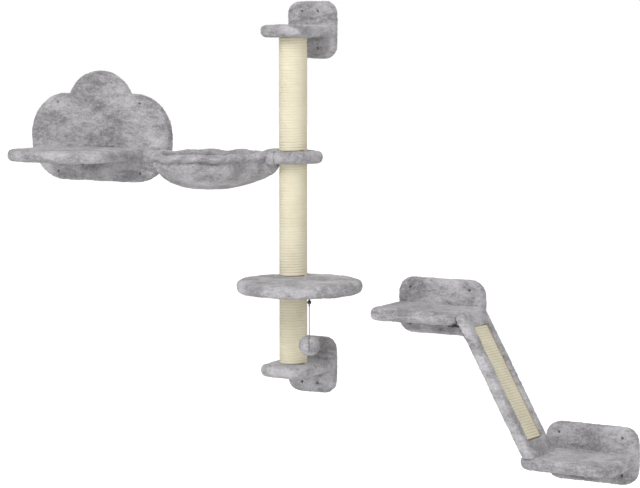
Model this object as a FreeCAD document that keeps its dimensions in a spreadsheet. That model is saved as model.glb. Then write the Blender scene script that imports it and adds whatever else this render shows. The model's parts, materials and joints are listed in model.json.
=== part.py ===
"""Wall mounted cat tree: a scratching column with a hammock and a perch, a bed, and two steps with a ramp.

Millimetres. The wall is the plane Y = 0, the object stands out of it towards -Y, X runs to the right along the
wall and Z is up. The origin is the middle of the four wall screws of the column's top plate, on the wall.
"""
import FreeCAD, Part
import math
import os

import Sketcher
from FreeCAD import Placement, Rotation, Vector

doc = FreeCAD.newDocument("wall_cat_tree")
sheet = doc.addObject("Spreadsheet::Sheet", "Sizes")

# ---------------------------------------------------------------------------------------------------------
# Driving sizes, by the name that each has in the sheet.
# ---------------------------------------------------------------------------------------------------------
SIZES = {
    # Boards and their plush
    "board": 15.0,                # thickness of every wooden board
    "plush": 7.5,                 # plush and its padding on a face
    "fold": 1.5,                  # plush where it is turned onto a plate's back
    "fold_wide": 30.0,            # width of that turned strip
    "soft_edge": 12.0,            # rounding of a covered edge
    "screw_play": 0.1,            # radial play of a screw in its hole
    "tip_room": 0.5,              # pilot hole beyond a small screw's tip
    "overrun": 1.0,               # how far a cutting shape runs past what it cuts
    # Wall screws, not supplied with the boards
    "wall_hole": 5.5,             # diameter
    "post_holes_wide": 50.0,
    "post_holes_high": 102.0,
    "step_holes_wide": 180.0,
    "step_holes_high": 100.0,
    "bed_holes_wide": 300.0,
    "bed_holes_high": 207.0,
    # Screws that join a shelf to its plate
    "screw_shank": 5.0,
    "screw_head": 9.5,
    "screw_head_deep": 3.2,
    "screw_bite": 34.0,           # length inside the shelf board
    # Column plates and shelves
    "post_plate_wide": 148.0,
    "post_plate_high": 156.0,
    "post_plate_corner": 34.0,
    "post_shelf_wide": 140.0,
    "post_shelf_reach": 196.0,    # wall to front edge
    "post_shelf_corner": 36.0,
    "top_shelf_rise": 11.0,       # shelf top above the middle of the top plate
    "low_plate_drop": 15.0,       # middle of the bottom plate below the bottom shelf's top
    "post_joint_gap": 70.0,       # between the two joint screws of a column shelf
    # Scratching column
    "post_out": 116.0,            # wall to column axis
    "upper_long": 317.0,
    "middle_long": 317.0,
    "lower_long": 217.0,
    "tube_across": 64.0,
    "tube_wall": 4.0,
    "disc_deep": 20.0,
    "disc_play": 0.1,
    "rope": 7.0,                  # sisal rope, diameter
    "rope_pitch": 7.6,
    "rope_loops": 24,             # at most this many turns are wound, the rest of the height is plain
    "rope_play": 0.15,            # tube to rope
    "wrap_gap": 0.8,              # between the turns and the plain wraps above and below
    # Studs, bolts and inserts of the column
    "stud": 8.0,
    "stud_play": 0.2,
    "insert_across": 12.0,
    "insert_deep": 18.0,
    "bolt_head": 14.0,
    "bolt_head_deep": 5.0,
    "washer_across": 22.0,
    "washer_thick": 1.5,
    "bolt_well": 26.0,            # opening in the plush over a bolt head
    # Hammock
    "collar_across": 160.0,       # covered disc that the column clamps
    "ring_reach": 240.0,          # column axis to the middle of the hammock
    "ring_turn": 20.0,            # degrees that the hammock is swung forward from the wall's line
    "ring_radius": 156.0,
    "ring_rod": 8.0,
    "prong_gap": 60.0,
    "prong_bend": 18.0,
    "prong_bite": 34.0,           # length inside the collar board
    "hem": 18.0,                  # rolled hem round the rod, outer diameter
    "sling_cloth": 5.0,
    "sling_deep": 91.0,           # ring to the lowest point
    "sling_floor": 42.0,          # radius of the flat bottom
    "sling_folds": 18,
    "fold_depth": 4.0,
    "sling_gap": 0.5,             # under the collar
    "sling_tail_gap": 3.5,        # to the column's rope
    # Perch
    "perch_across": 340.0,
    "perch_right": 74.0,          # middle of the perch, to the right of the column axis
    "perch_forward": 91.0,        # and in front of it
    # Hanging toy
    "toy_right": 91.0,            # from the middle of the perch
    "toy_forward": 103.0,
    "anchor_across": 11.0,
    "anchor_neck": 5.0,
    "anchor_drop": 12.5,          # perch underside to the middle of the anchor's knob
    "knot_across": 5.0,
    "cord": 2.0,
    "cord_long": 79.0,
    "ball_across": 54.0,
    "toy_gap": 0.3,               # between pieces that turn on each other
    # Bed
    "bed_middle": 730.0,          # left of the column axis
    "bed_wide": 500.0,
    "bed_high": 257.0,
    "bed_corner": 126.0,
    "bed_low": 447.0,             # lower edge below the origin
    "crest_radius": 115.0,
    "crest_up": 210.0,            # middle of the round crest above the lower edge
    "seat_middle": 735.0,         # left of the column axis
    "seat_wide": 330.0,
    "seat_reach": 300.0,
    "seat_corner": 90.0,
    "seat_drop": 349.0,           # seat top below the origin
    "seat_joint_gap": 100.0,
    # Steps
    "step_plate_wide": 256.0,
    "step_plate_high": 150.0,
    "step_plate_corner": 40.0,
    "step_shelf_wide": 262.0,
    "step_shelf_reach": 204.0,
    "step_shelf_corner": 40.0,
    "step_shelf_rise": 7.0,       # shelf top above the middle of its plate
    "step_joint_gap": 90.0,
    "upper_step_right": 411.0,
    "upper_step_drop": 754.0,     # middle of the plate below the origin
    "lower_step_right": 858.0,
    "lower_step_drop": 1116.0,
    # Ramp
    "ramp_wide": 140.0,
    "ramp_forward": 65.0,         # wall to the ramp's near edge
    "ramp_plush": 5.0,
    "ramp_edge": 7.0,             # rounding of its covered edges
    "ramp_corner": 10.0,          # corners of its outline
    "ramp_inset": 17.0,           # lower step's left edge to the ramp's heel
    "ramp_rise": 6.0,             # ramp's upper end above the upper step
    "ramp_gap": 0.5,              # ramp to the upper step's edge
    "inlay_start": 42.0,          # from the ramp's upper end
    "inlay_end": 39.2,            # to the ramp's heel, along its middle
    "inlay_wide": 88.0,           # over the rope
    "inlay_board": 5.0,
    "inlay_tab": 15.0,            # board past the rope at each end
    "tab_screw_gap": 40.0,
    "inlay_play": 1.0,
    "ramp_rope": 8.0,
    "ramp_rope_pitch": 9.0,
    "ramp_rope_loops": 24,
    "ramp_rope_play": 0.1,
    "strap_wide": 20.0,
    "strap_thick": 2.5,
    "strap_leg": 36.0,
    "strap_screw_out": 25.0,      # from the strap's bend
    "strap_gap": 112.0,           # between the two straps, which run under the ramp's borders
    "heel_screw_gap": 80.0,
    "small_screw": 4.0,
    "small_head": 7.5,
    "small_head_deep": 2.4,
    "small_bite": 12.0,
}


def fill_sheet():
    """Write the driving sizes into the sheet, one row each, with an alias."""
    for row, (alias, value) in enumerate(SIZES.items(), 1):
        sheet.set(f"A{row}", alias)
        sheet.set(f"B{row}", str(value))
        sheet.setAlias(f"B{row}", alias)
    doc.recompute()


fill_sheet()


def size(alias):
    """Value of a driving size, read back from the sheet."""
    return float(sheet.get(alias))


# ---------------------------------------------------------------------------------------------------------
# Small modelling helpers
# ---------------------------------------------------------------------------------------------------------
# In a sketch's constraints, point 1 of a line or arc is its start, 2 its end and 3 its centre. Item -1 is the
# horizontal axis, whose point 1 is the origin, and item -2 is the vertical axis.


def worth(expression):
    """Value of an expression of the sheet's sizes, to draw a sketch near its final size."""
    return float(sheet.evalExpression(expression))


def new_sketch(body, name, role, lift=None):
    """Sketch on one of the body's own origin planes, raised off it by an expression."""
    sketch = body.newObject("Sketcher::SketchObject", name)
    plane = [item for item in body.Origin.OriginFeatures if item.Role == role][0]
    sketch.AttachmentSupport = [(plane, "")]
    sketch.MapMode = "FlatFace"
    if lift:
        sketch.setExpression("AttachmentOffset.Base.z", lift)
    return sketch


def bind_constraint(sketch, constraint, name, expression):
    """Add a named dimension and tie it to the sheet."""
    index = sketch.addConstraint(constraint)
    sketch.renameConstraint(index, name)
    sketch.setExpression(f"Constraints.{name}", expression)


def rounded_outline(sketch, wide, high, corner, centred=True):
    """Rectangle with four equal round corners, symmetric about the vertical axis.

    It is centred on the origin, or else its upper side lies on the horizontal axis.
    """
    x, y, r = worth(wide) / 2, worth(high) / 2, worth(corner)
    low, top = (-y, y) if centred else (-2 * y, 0.0)
    up = Vector(0, 0, 1)
    sides = [
        (Vector(-x + r, low, 0), Vector(x - r, low, 0)),
        (Vector(x, low + r, 0), Vector(x, top - r, 0)),
        (Vector(x - r, top, 0), Vector(-x + r, top, 0)),
        (Vector(-x, top - r, 0), Vector(-x, low + r, 0)),
    ]
    middles = [Vector(x - r, low + r, 0), Vector(x - r, top - r, 0),
               Vector(-x + r, top - r, 0), Vector(-x + r, low + r, 0)]
    for k in range(4):
        sketch.addGeometry(Part.LineSegment(*sides[k]))
        first = (k - 1) * math.pi / 2
        circle = Part.Circle(middles[k], up, r)
        sketch.addGeometry(Part.ArcOfCircle(circle, first, first + math.pi / 2))
    for k in range(4):
        line, arc, following = 2 * k, 2 * k + 1, (2 * k + 2) % 8
        sketch.addConstraint(Sketcher.Constraint("Tangent", line, 2, arc, 1))
        sketch.addConstraint(Sketcher.Constraint("Tangent", arc, 2, following, 1))
    for arc in (3, 5, 7):
        sketch.addConstraint(Sketcher.Constraint("Equal", 1, arc))
    sketch.addConstraint(Sketcher.Constraint("Symmetric", 0, 1, 0, 2, -2))
    if centred:
        sketch.addConstraint(Sketcher.Constraint("Symmetric", 2, 1, 2, 2, -1))
    else:
        sketch.addConstraint(Sketcher.Constraint("Vertical", 2))
        sketch.addConstraint(Sketcher.Constraint("PointOnObject", 4, 1, -1))
    sketch.addConstraint(Sketcher.Constraint("Horizontal", 4))
    sketch.addConstraint(Sketcher.Constraint("Vertical", 6))
    bind_constraint(sketch, Sketcher.Constraint("Radius", 1, r), "corner", corner)
    bind_constraint(sketch, Sketcher.Constraint("DistanceX", 7, 1, 3, 1, 2 * x), "wide", wide)
    bind_constraint(sketch, Sketcher.Constraint("DistanceY", 0, 1, 4, 1, 2 * y), "high", high)


def shelf_outline(sketch, wide, reach, corner):
    """Shelf seen from above: a straight back edge on the horizontal axis and two round front corners."""
    x, y, r = worth(wide) / 2, worth(reach), worth(corner)
    up = Vector(0, 0, 1)
    back_left, back_right = Vector(-x, 0, 0), Vector(x, 0, 0)
    sketch.addGeometry(Part.LineSegment(back_right, back_left))
    sketch.addGeometry(Part.LineSegment(back_left, Vector(-x, -y + r, 0)))
    left = Part.Circle(Vector(-x + r, -y + r, 0), up, r)
    sketch.addGeometry(Part.ArcOfCircle(left, math.pi, 1.5 * math.pi))
    sketch.addGeometry(Part.LineSegment(Vector(-x + r, -y, 0), Vector(x - r, -y, 0)))
    right = Part.Circle(Vector(x - r, -y + r, 0), up, r)
    sketch.addGeometry(Part.ArcOfCircle(right, 1.5 * math.pi, 2 * math.pi))
    sketch.addGeometry(Part.LineSegment(Vector(x, -y + r, 0), back_right))
    sketch.addConstraint(Sketcher.Constraint("Coincident", 0, 2, 1, 1))
    sketch.addConstraint(Sketcher.Constraint("Coincident", 5, 2, 0, 1))
    for first, second in ((1, 2), (2, 3), (3, 4), (4, 5)):
        sketch.addConstraint(Sketcher.Constraint("Tangent", first, 2, second, 1))
    sketch.addConstraint(Sketcher.Constraint("Equal", 2, 4))
    sketch.addConstraint(Sketcher.Constraint("Symmetric", 0, 1, 0, 2, -2))
    sketch.addConstraint(Sketcher.Constraint("PointOnObject", 0, 1, -1))
    sketch.addConstraint(Sketcher.Constraint("Vertical", 1))
    sketch.addConstraint(Sketcher.Constraint("Horizontal", 3))
    sketch.addConstraint(Sketcher.Constraint("Vertical", 5))
    bind_constraint(sketch, Sketcher.Constraint("Radius", 2, r), "corner", corner)
    bind_constraint(sketch, Sketcher.Constraint("DistanceX", 0, 2, 0, 1, 2 * x), "wide", wide)
    bind_constraint(sketch, Sketcher.Constraint("DistanceY", 3, 1, 0, 1, y), "reach", reach)


def circle_outline(sketch, radius, up=None):
    """Circle on the vertical axis, at a height above the origin if one is given."""
    r = worth(radius)
    y = worth(up) if up else 0
    index = sketch.addGeometry(Part.Circle(Vector(0, y, 0), Vector(0, 0, 1), r))
    if up:
        sketch.addConstraint(Sketcher.Constraint("PointOnObject", index, 3, -2))
        bind_constraint(sketch, Sketcher.Constraint("DistanceY", -1, 1, index, 3, y), "up", up)
    else:
        sketch.addConstraint(Sketcher.Constraint("Coincident", index, 3, -1, 1))
    bind_constraint(sketch, Sketcher.Constraint("Radius", index, r), "radius", radius)


def pad(body, sketch, name, length):
    """Pad a sketch along its normal by an expression."""
    feature = body.newObject("PartDesign::Pad", name)
    feature.Profile = sketch
    feature.setExpression("Length", length)
    sketch.Visibility = False
    return feature


def round_edges(body, base, name, radius, wanted):
    """Fillet the edges of the body that the test picks out."""
    doc.recompute()
    names = [f"Edge{k}" for k, edge in enumerate(base.Shape.Edges, 1) if wanted(edge)]
    feature = body.newObject("PartDesign::Fillet", name)
    feature.Base = (base, names)
    feature.setExpression("Radius", radius)
    return feature


def new_body(name, placement):
    """Empty body at its place."""
    body = doc.addObject("PartDesign::Body", name)
    body.Placement = placement
    return body


def cylinder(name, radius, height, placement):
    """Cylinder whose radius and height are expressions."""
    item = doc.addObject("Part::Cylinder", name)
    item.setExpression("Radius", radius)
    item.setExpression("Height", height)
    item.Placement = placement
    return item


def box(name, long, wide, high, placement):
    """Box whose three sizes are expressions."""
    item = doc.addObject("Part::Box", name)
    item.setExpression("Length", long)
    item.setExpression("Width", wide)
    item.setExpression("Height", high)
    item.Placement = placement
    return item


def together(name, items):
    """Several solids as one object."""
    if len(items) == 1:
        return items[0]
    item = doc.addObject("Part::MultiFuse", name)
    item.Shapes = items
    return item


def cut(name, base, *tools):
    """The base less its tools."""
    item = doc.addObject("Part::Cut", name)
    item.Base = base
    item.Tool = together(f"{name}_tools", list(tools))
    return item


def loose(name, shape, placement=Placement()):
    """Piece whose shape is worked out here, in its own frame, and then placed."""
    item = doc.addObject("Part::Feature", name)
    item.Shape = shape
    item.Placement = placement
    return item


NODES = []


def node(item, label):
    """Name an object as one of the cat tree's own pieces."""
    item.Label = label
    NODES.append(item)
    return item


def at(x, y, z, turn=Rotation()):
    """Placement at a point."""
    return Placement(Vector(x, y, z), turn)


FORWARD = Rotation(Vector(1, 0, 0), 90)     # turns +Z to -Y, away from the wall
UPRIGHT = Rotation()
DOWNWARD = Rotation(Vector(1, 0, 0), 180)   # turns +Z to -Z

# ---------------------------------------------------------------------------------------------------------
# Places that follow from the sizes
# ---------------------------------------------------------------------------------------------------------
shelf_thick = size("board") + 2 * size("plush")
plate_thick = size("fold") + size("board") + size("plush")
post_y = -size("post_out")
top_shelf_z = size("top_shelf_rise")                          # upper face of each covered board, going down
collar_z = top_shelf_z - shelf_thick - size("upper_long")
perch_z = collar_z - shelf_thick - size("middle_long")
low_shelf_z = perch_z - shelf_thick - size("lower_long")
low_plate_z = low_shelf_z - size("low_plate_drop")
perch_x = size("perch_right")
perch_y = post_y - size("perch_forward")
seat_x = -size("seat_middle")
seat_z = -size("seat_drop")
bed_x = -size("bed_middle")
bed_z = -size("bed_low") + size("bed_high") / 2


# ---------------------------------------------------------------------------------------------------------
# Wall plates and shelves
# ---------------------------------------------------------------------------------------------------------
def wall_holes(name, x, z, wide, high):
    """Four wall screw holes straight through a plate and its cover."""
    holes = []
    for k, (side, level) in enumerate(((-1, -1), (1, -1), (1, 1), (-1, 1))):
        place = at(x + side * wide / 2, size("overrun"), z + level * high / 2, FORWARD)
        holes.append(cylinder(f"{name}_{k}", "Sizes.wall_hole / 2",
                              "Sizes.fold + Sizes.board + Sizes.plush + 2 * Sizes.overrun", place))
    return holes


def joint_spots(x, gap):
    """Where the joint screws of a shelf stand along X."""
    return [x - gap / 2, x + gap / 2]


def screw_holes(name, spots, z):
    """Through holes with a seat for the head in a plate's back, and the pilot beyond."""
    tools = []
    for k, x in enumerate(spots):
        tools.append(cylinder(f"{name}_{k}", "Sizes.screw_shank / 2 + Sizes.screw_play",
                              "Sizes.fold + Sizes.board + Sizes.plush + Sizes.screw_bite + Sizes.tip_room",
                              at(x, 0, z, FORWARD)))
    return tools


def head_seats(name, spots, z):
    """Counterbores in a plate's back, down to the screw heads' seats."""
    return [cylinder(f"{name}_{k}", "Sizes.screw_head / 2 + 2 * Sizes.screw_play",
                     "Sizes.fold + Sizes.screw_head_deep", at(x, 0, z, FORWARD))
            for k, x in enumerate(spots)]


def joint_screws(label, spots, z):
    """Screws from a plate's back into the end of its shelf."""
    screws = []
    for k, x in enumerate(spots):
        head = cylinder(f"{label}_head_{k}", "Sizes.screw_head / 2", "Sizes.screw_head_deep",
                        at(x, -size("fold"), z, FORWARD))
        shank = cylinder(f"{label}_shank_{k}", "Sizes.screw_shank / 2",
                         "Sizes.board + Sizes.plush + Sizes.screw_bite",
                         at(x, -size("fold"), z, FORWARD))
        screws += [head, shank]
    return node(together(f"{label}_solids", screws), label)


def small_screw(name, seat, turn, through):
    """Small wood screw whose head sits at a point; +Z of the turn is the way its tip points."""
    back = turn.multVec(Vector(0, 0, -size("small_head_deep")))
    head = cylinder(f"{name}_head", "Sizes.small_head / 2", "Sizes.small_head_deep",
                    Placement(seat + back, turn))
    shank = cylinder(f"{name}_shank", "Sizes.small_screw / 2", f"{through} + Sizes.small_bite",
                     Placement(seat, turn))
    return [head, shank]


def small_bore(name, seat, turn, through):
    """Hole for such a screw, through what it fastens and on to its tip."""
    return cylinder(name, "Sizes.small_screw / 2 + Sizes.screw_play",
                    f"{through} + Sizes.small_bite + Sizes.tip_room", Placement(seat, turn))


def plate_blank(name, x, z, wide, high, corner, grow, y, thick, crest=None, rounded=None):
    """Upright rounded slab, grown sideways by an expression, from depth y forward; a crest adds a round top."""
    body = new_body(name, at(x, y, z))
    sketch = new_sketch(body, f"{name}_outline", "XZ_Plane")
    rounded_outline(sketch, f"{wide} + 2 * ({grow})", f"{high} + 2 * ({grow})", f"{corner} + ({grow})")
    last = pad(body, sketch, f"{name}_slab", thick)
    if crest:
        ring = new_sketch(body, f"{name}_crest_outline", "XZ_Plane")
        circle_outline(ring, f"{crest[0]} + ({grow})", crest[1])
        last = pad(body, ring, f"{name}_crest", thick)
    if rounded:
        doc.recompute()
        front = last.Shape.BoundBox.YMin
        last = round_edges(body, last, f"{name}_soft", rounded,
                           lambda edge: round(edge.BoundBox.YMax, 2) == round(front, 2))
    body.Tip = last
    return body


def wall_plate(prefix, x, z, sizes, holes, spots, joint_z, crest=None):
    """Board and plush cover of a plate that is screwed to the wall.

    The holes are their spacing along X, their spacing along Z and the height of their middle.
    """
    wide, high, corner = sizes
    hole_tools = wall_holes(f"{prefix}_wall_hole", x, holes[2], holes[0], holes[1])
    board = plate_blank(f"{prefix}_board_blank", x, z, wide, high, corner, "-Sizes.plush", -size("fold"),
                        "Sizes.board", crest)
    through = screw_holes(f"{prefix}_joint_hole", spots, joint_z)
    seats = head_seats(f"{prefix}_head_seat", spots, joint_z)
    node(cut(f"{prefix}_board_solid", board, *hole_tools, *through, *seats), f"{prefix}_board")
    skin = plate_blank(f"{prefix}_cover_blank", x, z, wide, high, corner, "0", 0,
                       "Sizes.fold + Sizes.board + Sizes.plush", crest, "Sizes.soft_edge")
    bare = plate_blank(f"{prefix}_bare_back", x, z, wide, high, corner, "-Sizes.fold_wide",
                       size("overrun"), "Sizes.fold + Sizes.overrun", crest)
    cavity = plate_blank(f"{prefix}_cavity", x, z, wide, high, corner, "-Sizes.plush", -size("fold"),
                         "Sizes.board", crest)
    node(cut(f"{prefix}_cover_solid", skin, bare, cavity, *hole_tools, *through), f"{prefix}_cover")


def shelf_blank(name, x, top, wide, reach, corner, grow, thick, rounded=None):
    """Level slab with a straight back on its plate's face and round front corners."""
    body = new_body(name, at(x, -plate_thick, top))
    sketch = new_sketch(body, f"{name}_outline", "XY_Plane")
    shelf_outline(sketch, f"{wide} + 2 * ({grow})",
                  f"{reach} - Sizes.fold - Sizes.board - Sizes.plush + ({grow})", f"{corner} + ({grow})")
    last = pad(body, sketch, f"{name}_slab", thick)
    last.Reversed = True
    if rounded:
        def soft(edge):
            level = round(edge.BoundBox.ZLength, 2) == 0
            return level and round(edge.BoundBox.YMin + plate_thick, 2) < 0
        last = round_edges(body, last, f"{name}_soft", rounded, soft)
    body.Tip = last
    return body


def covered_shelf(names, x, top, sizes, spots, bores=(), wells=()):
    """Board and plush cover of a shelf; bores go through both, wells only through the cover."""
    board_name, cover_name = names
    wide, reach, corner = sizes
    middle = top - shelf_thick / 2
    board = shelf_blank(f"{board_name}_blank", x, top - size("plush"), wide, reach, corner, "-Sizes.plush",
                        "Sizes.board")
    pilots = screw_holes(f"{board_name}_pilot", spots, middle)
    node(cut(f"{board_name}_solid", board, *pilots, *bores), board_name)
    skin = shelf_blank(f"{cover_name}_blank", x, top, wide, reach, corner, "0",
                       "Sizes.board + 2 * Sizes.plush", "Sizes.soft_edge")
    cavity = shelf_blank(f"{cover_name}_cavity", x, top - size("plush"), wide, reach, corner,
                         "-Sizes.plush", "Sizes.board")
    node(cut(f"{cover_name}_solid", skin, cavity, *bores, *wells), cover_name)


POST_PLATE = ("Sizes.post_plate_wide", "Sizes.post_plate_high", "Sizes.post_plate_corner")
POST_SHELF = ("Sizes.post_shelf_wide", "Sizes.post_shelf_reach", "Sizes.post_shelf_corner")
STEP_PLATE = ("Sizes.step_plate_wide", "Sizes.step_plate_high", "Sizes.step_plate_corner")
STEP_SHELF = ("Sizes.step_shelf_wide", "Sizes.step_shelf_reach", "Sizes.step_shelf_corner")


def stud_bore(name, top):
    """Hole for the column's stud or end bolt through a covered board."""
    return cylinder(name, "Sizes.stud / 2 + Sizes.stud_play",
                    "Sizes.board + 2 * Sizes.plush + 2 * Sizes.overrun",
                    at(0, post_y, top - shelf_thick - size("overrun")))


def post_bracket(prefix, shelf_top, plate_z, well_side):
    """Plate and shelf at one end of the column; the well takes the end bolt's head."""
    spots = joint_spots(0, size("post_joint_gap"))
    joint_z = shelf_top - shelf_thick / 2
    holes = (size("post_holes_wide"), size("post_holes_high"), plate_z)
    wall_plate(f"{prefix}_wall", 0, plate_z, POST_PLATE, holes, spots, joint_z)
    if well_side > 0:
        well_z = shelf_top - size("plush")
    else:
        well_z = shelf_top - shelf_thick - size("overrun")
    well = cylinder(f"{prefix}_bolt_well", "Sizes.bolt_well / 2", "Sizes.plush + Sizes.overrun",
                    at(0, post_y, well_z))
    covered_shelf((f"{prefix}_shelf_board", f"{prefix}_shelf_cover"), 0, shelf_top, POST_SHELF, spots,
                  [stud_bore(f"{prefix}_bolt_bore", shelf_top)], [well])
    joint_screws(f"{prefix}_joint_screws", spots, joint_z)


post_bracket("top", top_shelf_z, 0, 1)
post_bracket("bottom", low_shelf_z, low_plate_z, -1)


# ---------------------------------------------------------------------------------------------------------
# Rope: biarcs, tubes and the least gap of a tube to itself
# ---------------------------------------------------------------------------------------------------------
def arc_from(start, along, end):
    """Arc that leaves start along a direction, off its chord, and ends at end."""
    chord = end - start
    half = chord.Length / 2
    line = Vector(chord).normalize()
    side = along - line * along.dot(line)
    rise = half * math.tan(along.getAngle(line) / 2)
    return Part.Arc(start, start + chord * 0.5 + side.normalize() * rise, end).toShape()


def biarc(start, along, end, onward):
    """Two arcs that leave start along one direction and reach end along another."""
    chord = end - start
    turn = 2 * (1 - along.dot(onward))
    lean = chord.dot(along + onward)
    reach = (math.sqrt(lean * lean + turn * chord.dot(chord)) - lean) / turn
    middle = (start + end + (along - onward) * reach) * 0.5
    first = arc_from(start, along, middle)
    second = arc_from(end, onward * -1, middle)
    return [first, second]


def tube_on(path, across):
    """Round tube along a wire, its section square to the wire's start."""
    first = path.Edges[0]
    start = first.valueAt(first.FirstParameter)
    along = first.tangentAt(first.FirstParameter)
    section = Part.Wire(Part.Circle(start, along, across / 2).toShape())
    return path.makePipeShell([section], True, False)


def least_gap(path, across, loop_long):
    """Least gap of a wound rope to itself, on its path's points, half to one and a half turns on."""
    step = across / 2
    points = path.discretize(int(path.Length / step))
    skip = int(0.5 * loop_long / step)
    window = int(1.5 * loop_long / step)
    nearest = min((points[i] - points[j]).Length
                  for i in range(len(points)) for j in range(i + skip, min(i + window, len(points))))
    return nearest - across


def helix_rope(label, radius, low, loops):
    """Rope wound round the column from a level upwards, its two ends running straight out of the turns."""
    pitch = size("rope_pitch")
    rise = pitch / (2 * math.pi * radius)
    stations = []
    for k in range(2 * loops + 1):
        angle = math.pi * k
        out = Vector(math.cos(angle), math.sin(angle), 0)
        around = Vector(-math.sin(angle), math.cos(angle), rise).normalize()
        stations.append((Vector(0, post_y, low + pitch * k / 2) + out * radius, around))
    edges = []
    tail = size("rope")
    first, around = stations[0]
    edges.append(Part.LineSegment(first - around * tail, first).toShape())
    for (start, along), (end, onward) in zip(stations, stations[1:]):
        edges += biarc(start, along, end, onward)
    last, onward = stations[-1]
    edges.append(Part.LineSegment(last, last + onward * tail).toShape())
    path = Part.Wire(edges)
    gap = least_gap(path, size("rope"), 2 * math.pi * radius)
    print(f"{label}: {loops} turns, least gap to itself {gap:.2f} mm")
    return tube_on(path, size("rope"))


# ---------------------------------------------------------------------------------------------------------
# Scratching column
# ---------------------------------------------------------------------------------------------------------
SEGMENTS = (
    ("upper_post", top_shelf_z - shelf_thick, "upper_long"),
    ("middle_post", collar_z - shelf_thick, "middle_long"),
    ("lower_post", perch_z - shelf_thick, "lower_long"),
)


def post_segment(prefix, top, long_name):
    """One length of the column: cardboard tube, two end discs and the sisal rope round it."""
    long = size(long_name)
    low = top - long
    axis = at(0, post_y, low)
    outer = cylinder(f"{prefix}_outer", "Sizes.tube_across / 2", f"Sizes.{long_name}", axis)
    inner = cylinder(f"{prefix}_inner", "Sizes.tube_across / 2 - Sizes.tube_wall", f"Sizes.{long_name}", axis)
    node(cut(f"{prefix}_tube_solid", outer, inner), f"{prefix}_tube")
    discs = []
    bores = []
    for k, level in enumerate((low, top - size("disc_deep"))):
        discs.append(cylinder(f"{prefix}_disc_{k}", "Sizes.tube_across / 2 - Sizes.tube_wall - Sizes.disc_play",
                              "Sizes.disc_deep", at(0, post_y, level)))
        bores.append(cylinder(f"{prefix}_disc_bore_{k}", "Sizes.insert_across / 2 + Sizes.disc_play",
                              "Sizes.disc_deep", at(0, post_y, level)))
    node(cut(f"{prefix}_discs_solid", together(f"{prefix}_disc_pair", discs), *bores), f"{prefix}_discs")
    rope = size("rope")
    pitch = size("rope_pitch")
    inner_radius = size("tube_across") / 2 + size("rope_play")
    room = long - rope - 2 * size("wrap_gap")
    loops = max(1, min(int(size("rope_loops")), int(room / pitch)))
    start = low + (long - loops * pitch) / 2
    turns = helix_rope(f"{prefix}_rope", inner_radius + rope / 2, start, loops)
    wrap_high = start - rope / 2 - size("wrap_gap") - low
    wraps = []
    if wrap_high > rope / 2:
        for level in (low, top - wrap_high):
            ring = Part.makeCylinder(inner_radius + rope, wrap_high, Vector(0, post_y, level))
            bore = Part.makeCylinder(inner_radius, wrap_high, Vector(0, post_y, level))
            wraps.append(ring.cut(bore))
    node(loose(f"{prefix}_rope_solid", Part.makeCompound([turns] + wraps)), f"{prefix}_rope")


for segment in SEGMENTS:
    post_segment(*segment)


def column_fasteners():
    """Threaded inserts in the end discs, studs through the clamped boards and a bolt at each end."""
    inserts = []
    bores = []
    deep = size("insert_deep")
    for prefix, top, long_name in SEGMENTS:
        for k, level in enumerate((top - deep, top - size(long_name))):
            place = at(0, post_y, level)
            inserts.append(cylinder(f"{prefix}_insert_{k}", "Sizes.insert_across / 2", "Sizes.insert_deep",
                                    place))
            bores.append(cylinder(f"{prefix}_thread_{k}", "Sizes.stud / 2 + Sizes.screw_play",
                                  "Sizes.insert_deep", place))
    node(cut("thread_inserts_solid", together("insert_blanks", inserts), *bores), "thread_inserts")
    studs = []
    for k, level in enumerate((collar_z, perch_z)):
        studs.append(cylinder(f"stud_{k}", "Sizes.stud / 2",
                              "Sizes.board + 2 * Sizes.plush + 2 * Sizes.insert_deep",
                              at(0, post_y, level - shelf_thick - deep)))
    node(together("studs", studs), "clamp_studs")
    bolts = []
    top_seat = top_shelf_z - size("plush")
    low_seat = low_shelf_z - shelf_thick + size("plush")
    for name, seat, turn in (("top", top_seat, UPRIGHT), ("bottom", low_seat, DOWNWARD)):
        sign = 1 if turn is UPRIGHT else -1
        washer = cylinder(f"{name}_washer", "Sizes.washer_across / 2", "Sizes.washer_thick",
                          at(0, post_y, seat, turn))
        head = cylinder(f"{name}_bolt_head", "Sizes.bolt_head / 2", "Sizes.bolt_head_deep",
                        at(0, post_y, seat + sign * size("washer_thick"), turn))
        back = DOWNWARD if turn is UPRIGHT else UPRIGHT
        shank = cylinder(f"{name}_bolt_shank", "Sizes.stud / 2",
                         "Sizes.washer_thick + Sizes.board + Sizes.plush + Sizes.insert_deep",
                         at(0, post_y, seat + sign * size("washer_thick"), back))
        bolts.append(together(f"{name}_bolt", [washer, head, shank]))
    node(together("end_bolt_pair", bolts), "end_bolts")


column_fasteners()


# ---------------------------------------------------------------------------------------------------------
# Hammock: covered collar, rod ring with two prongs, hemmed sling
# ---------------------------------------------------------------------------------------------------------
swing = Placement(Vector(0, post_y, collar_z - shelf_thick / 2), Rotation(Vector(0, 0, 1), size("ring_turn")))
# In the hammock's own frame X points from the hammock's middle to the column and Z = 0 is the rod's level.


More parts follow.
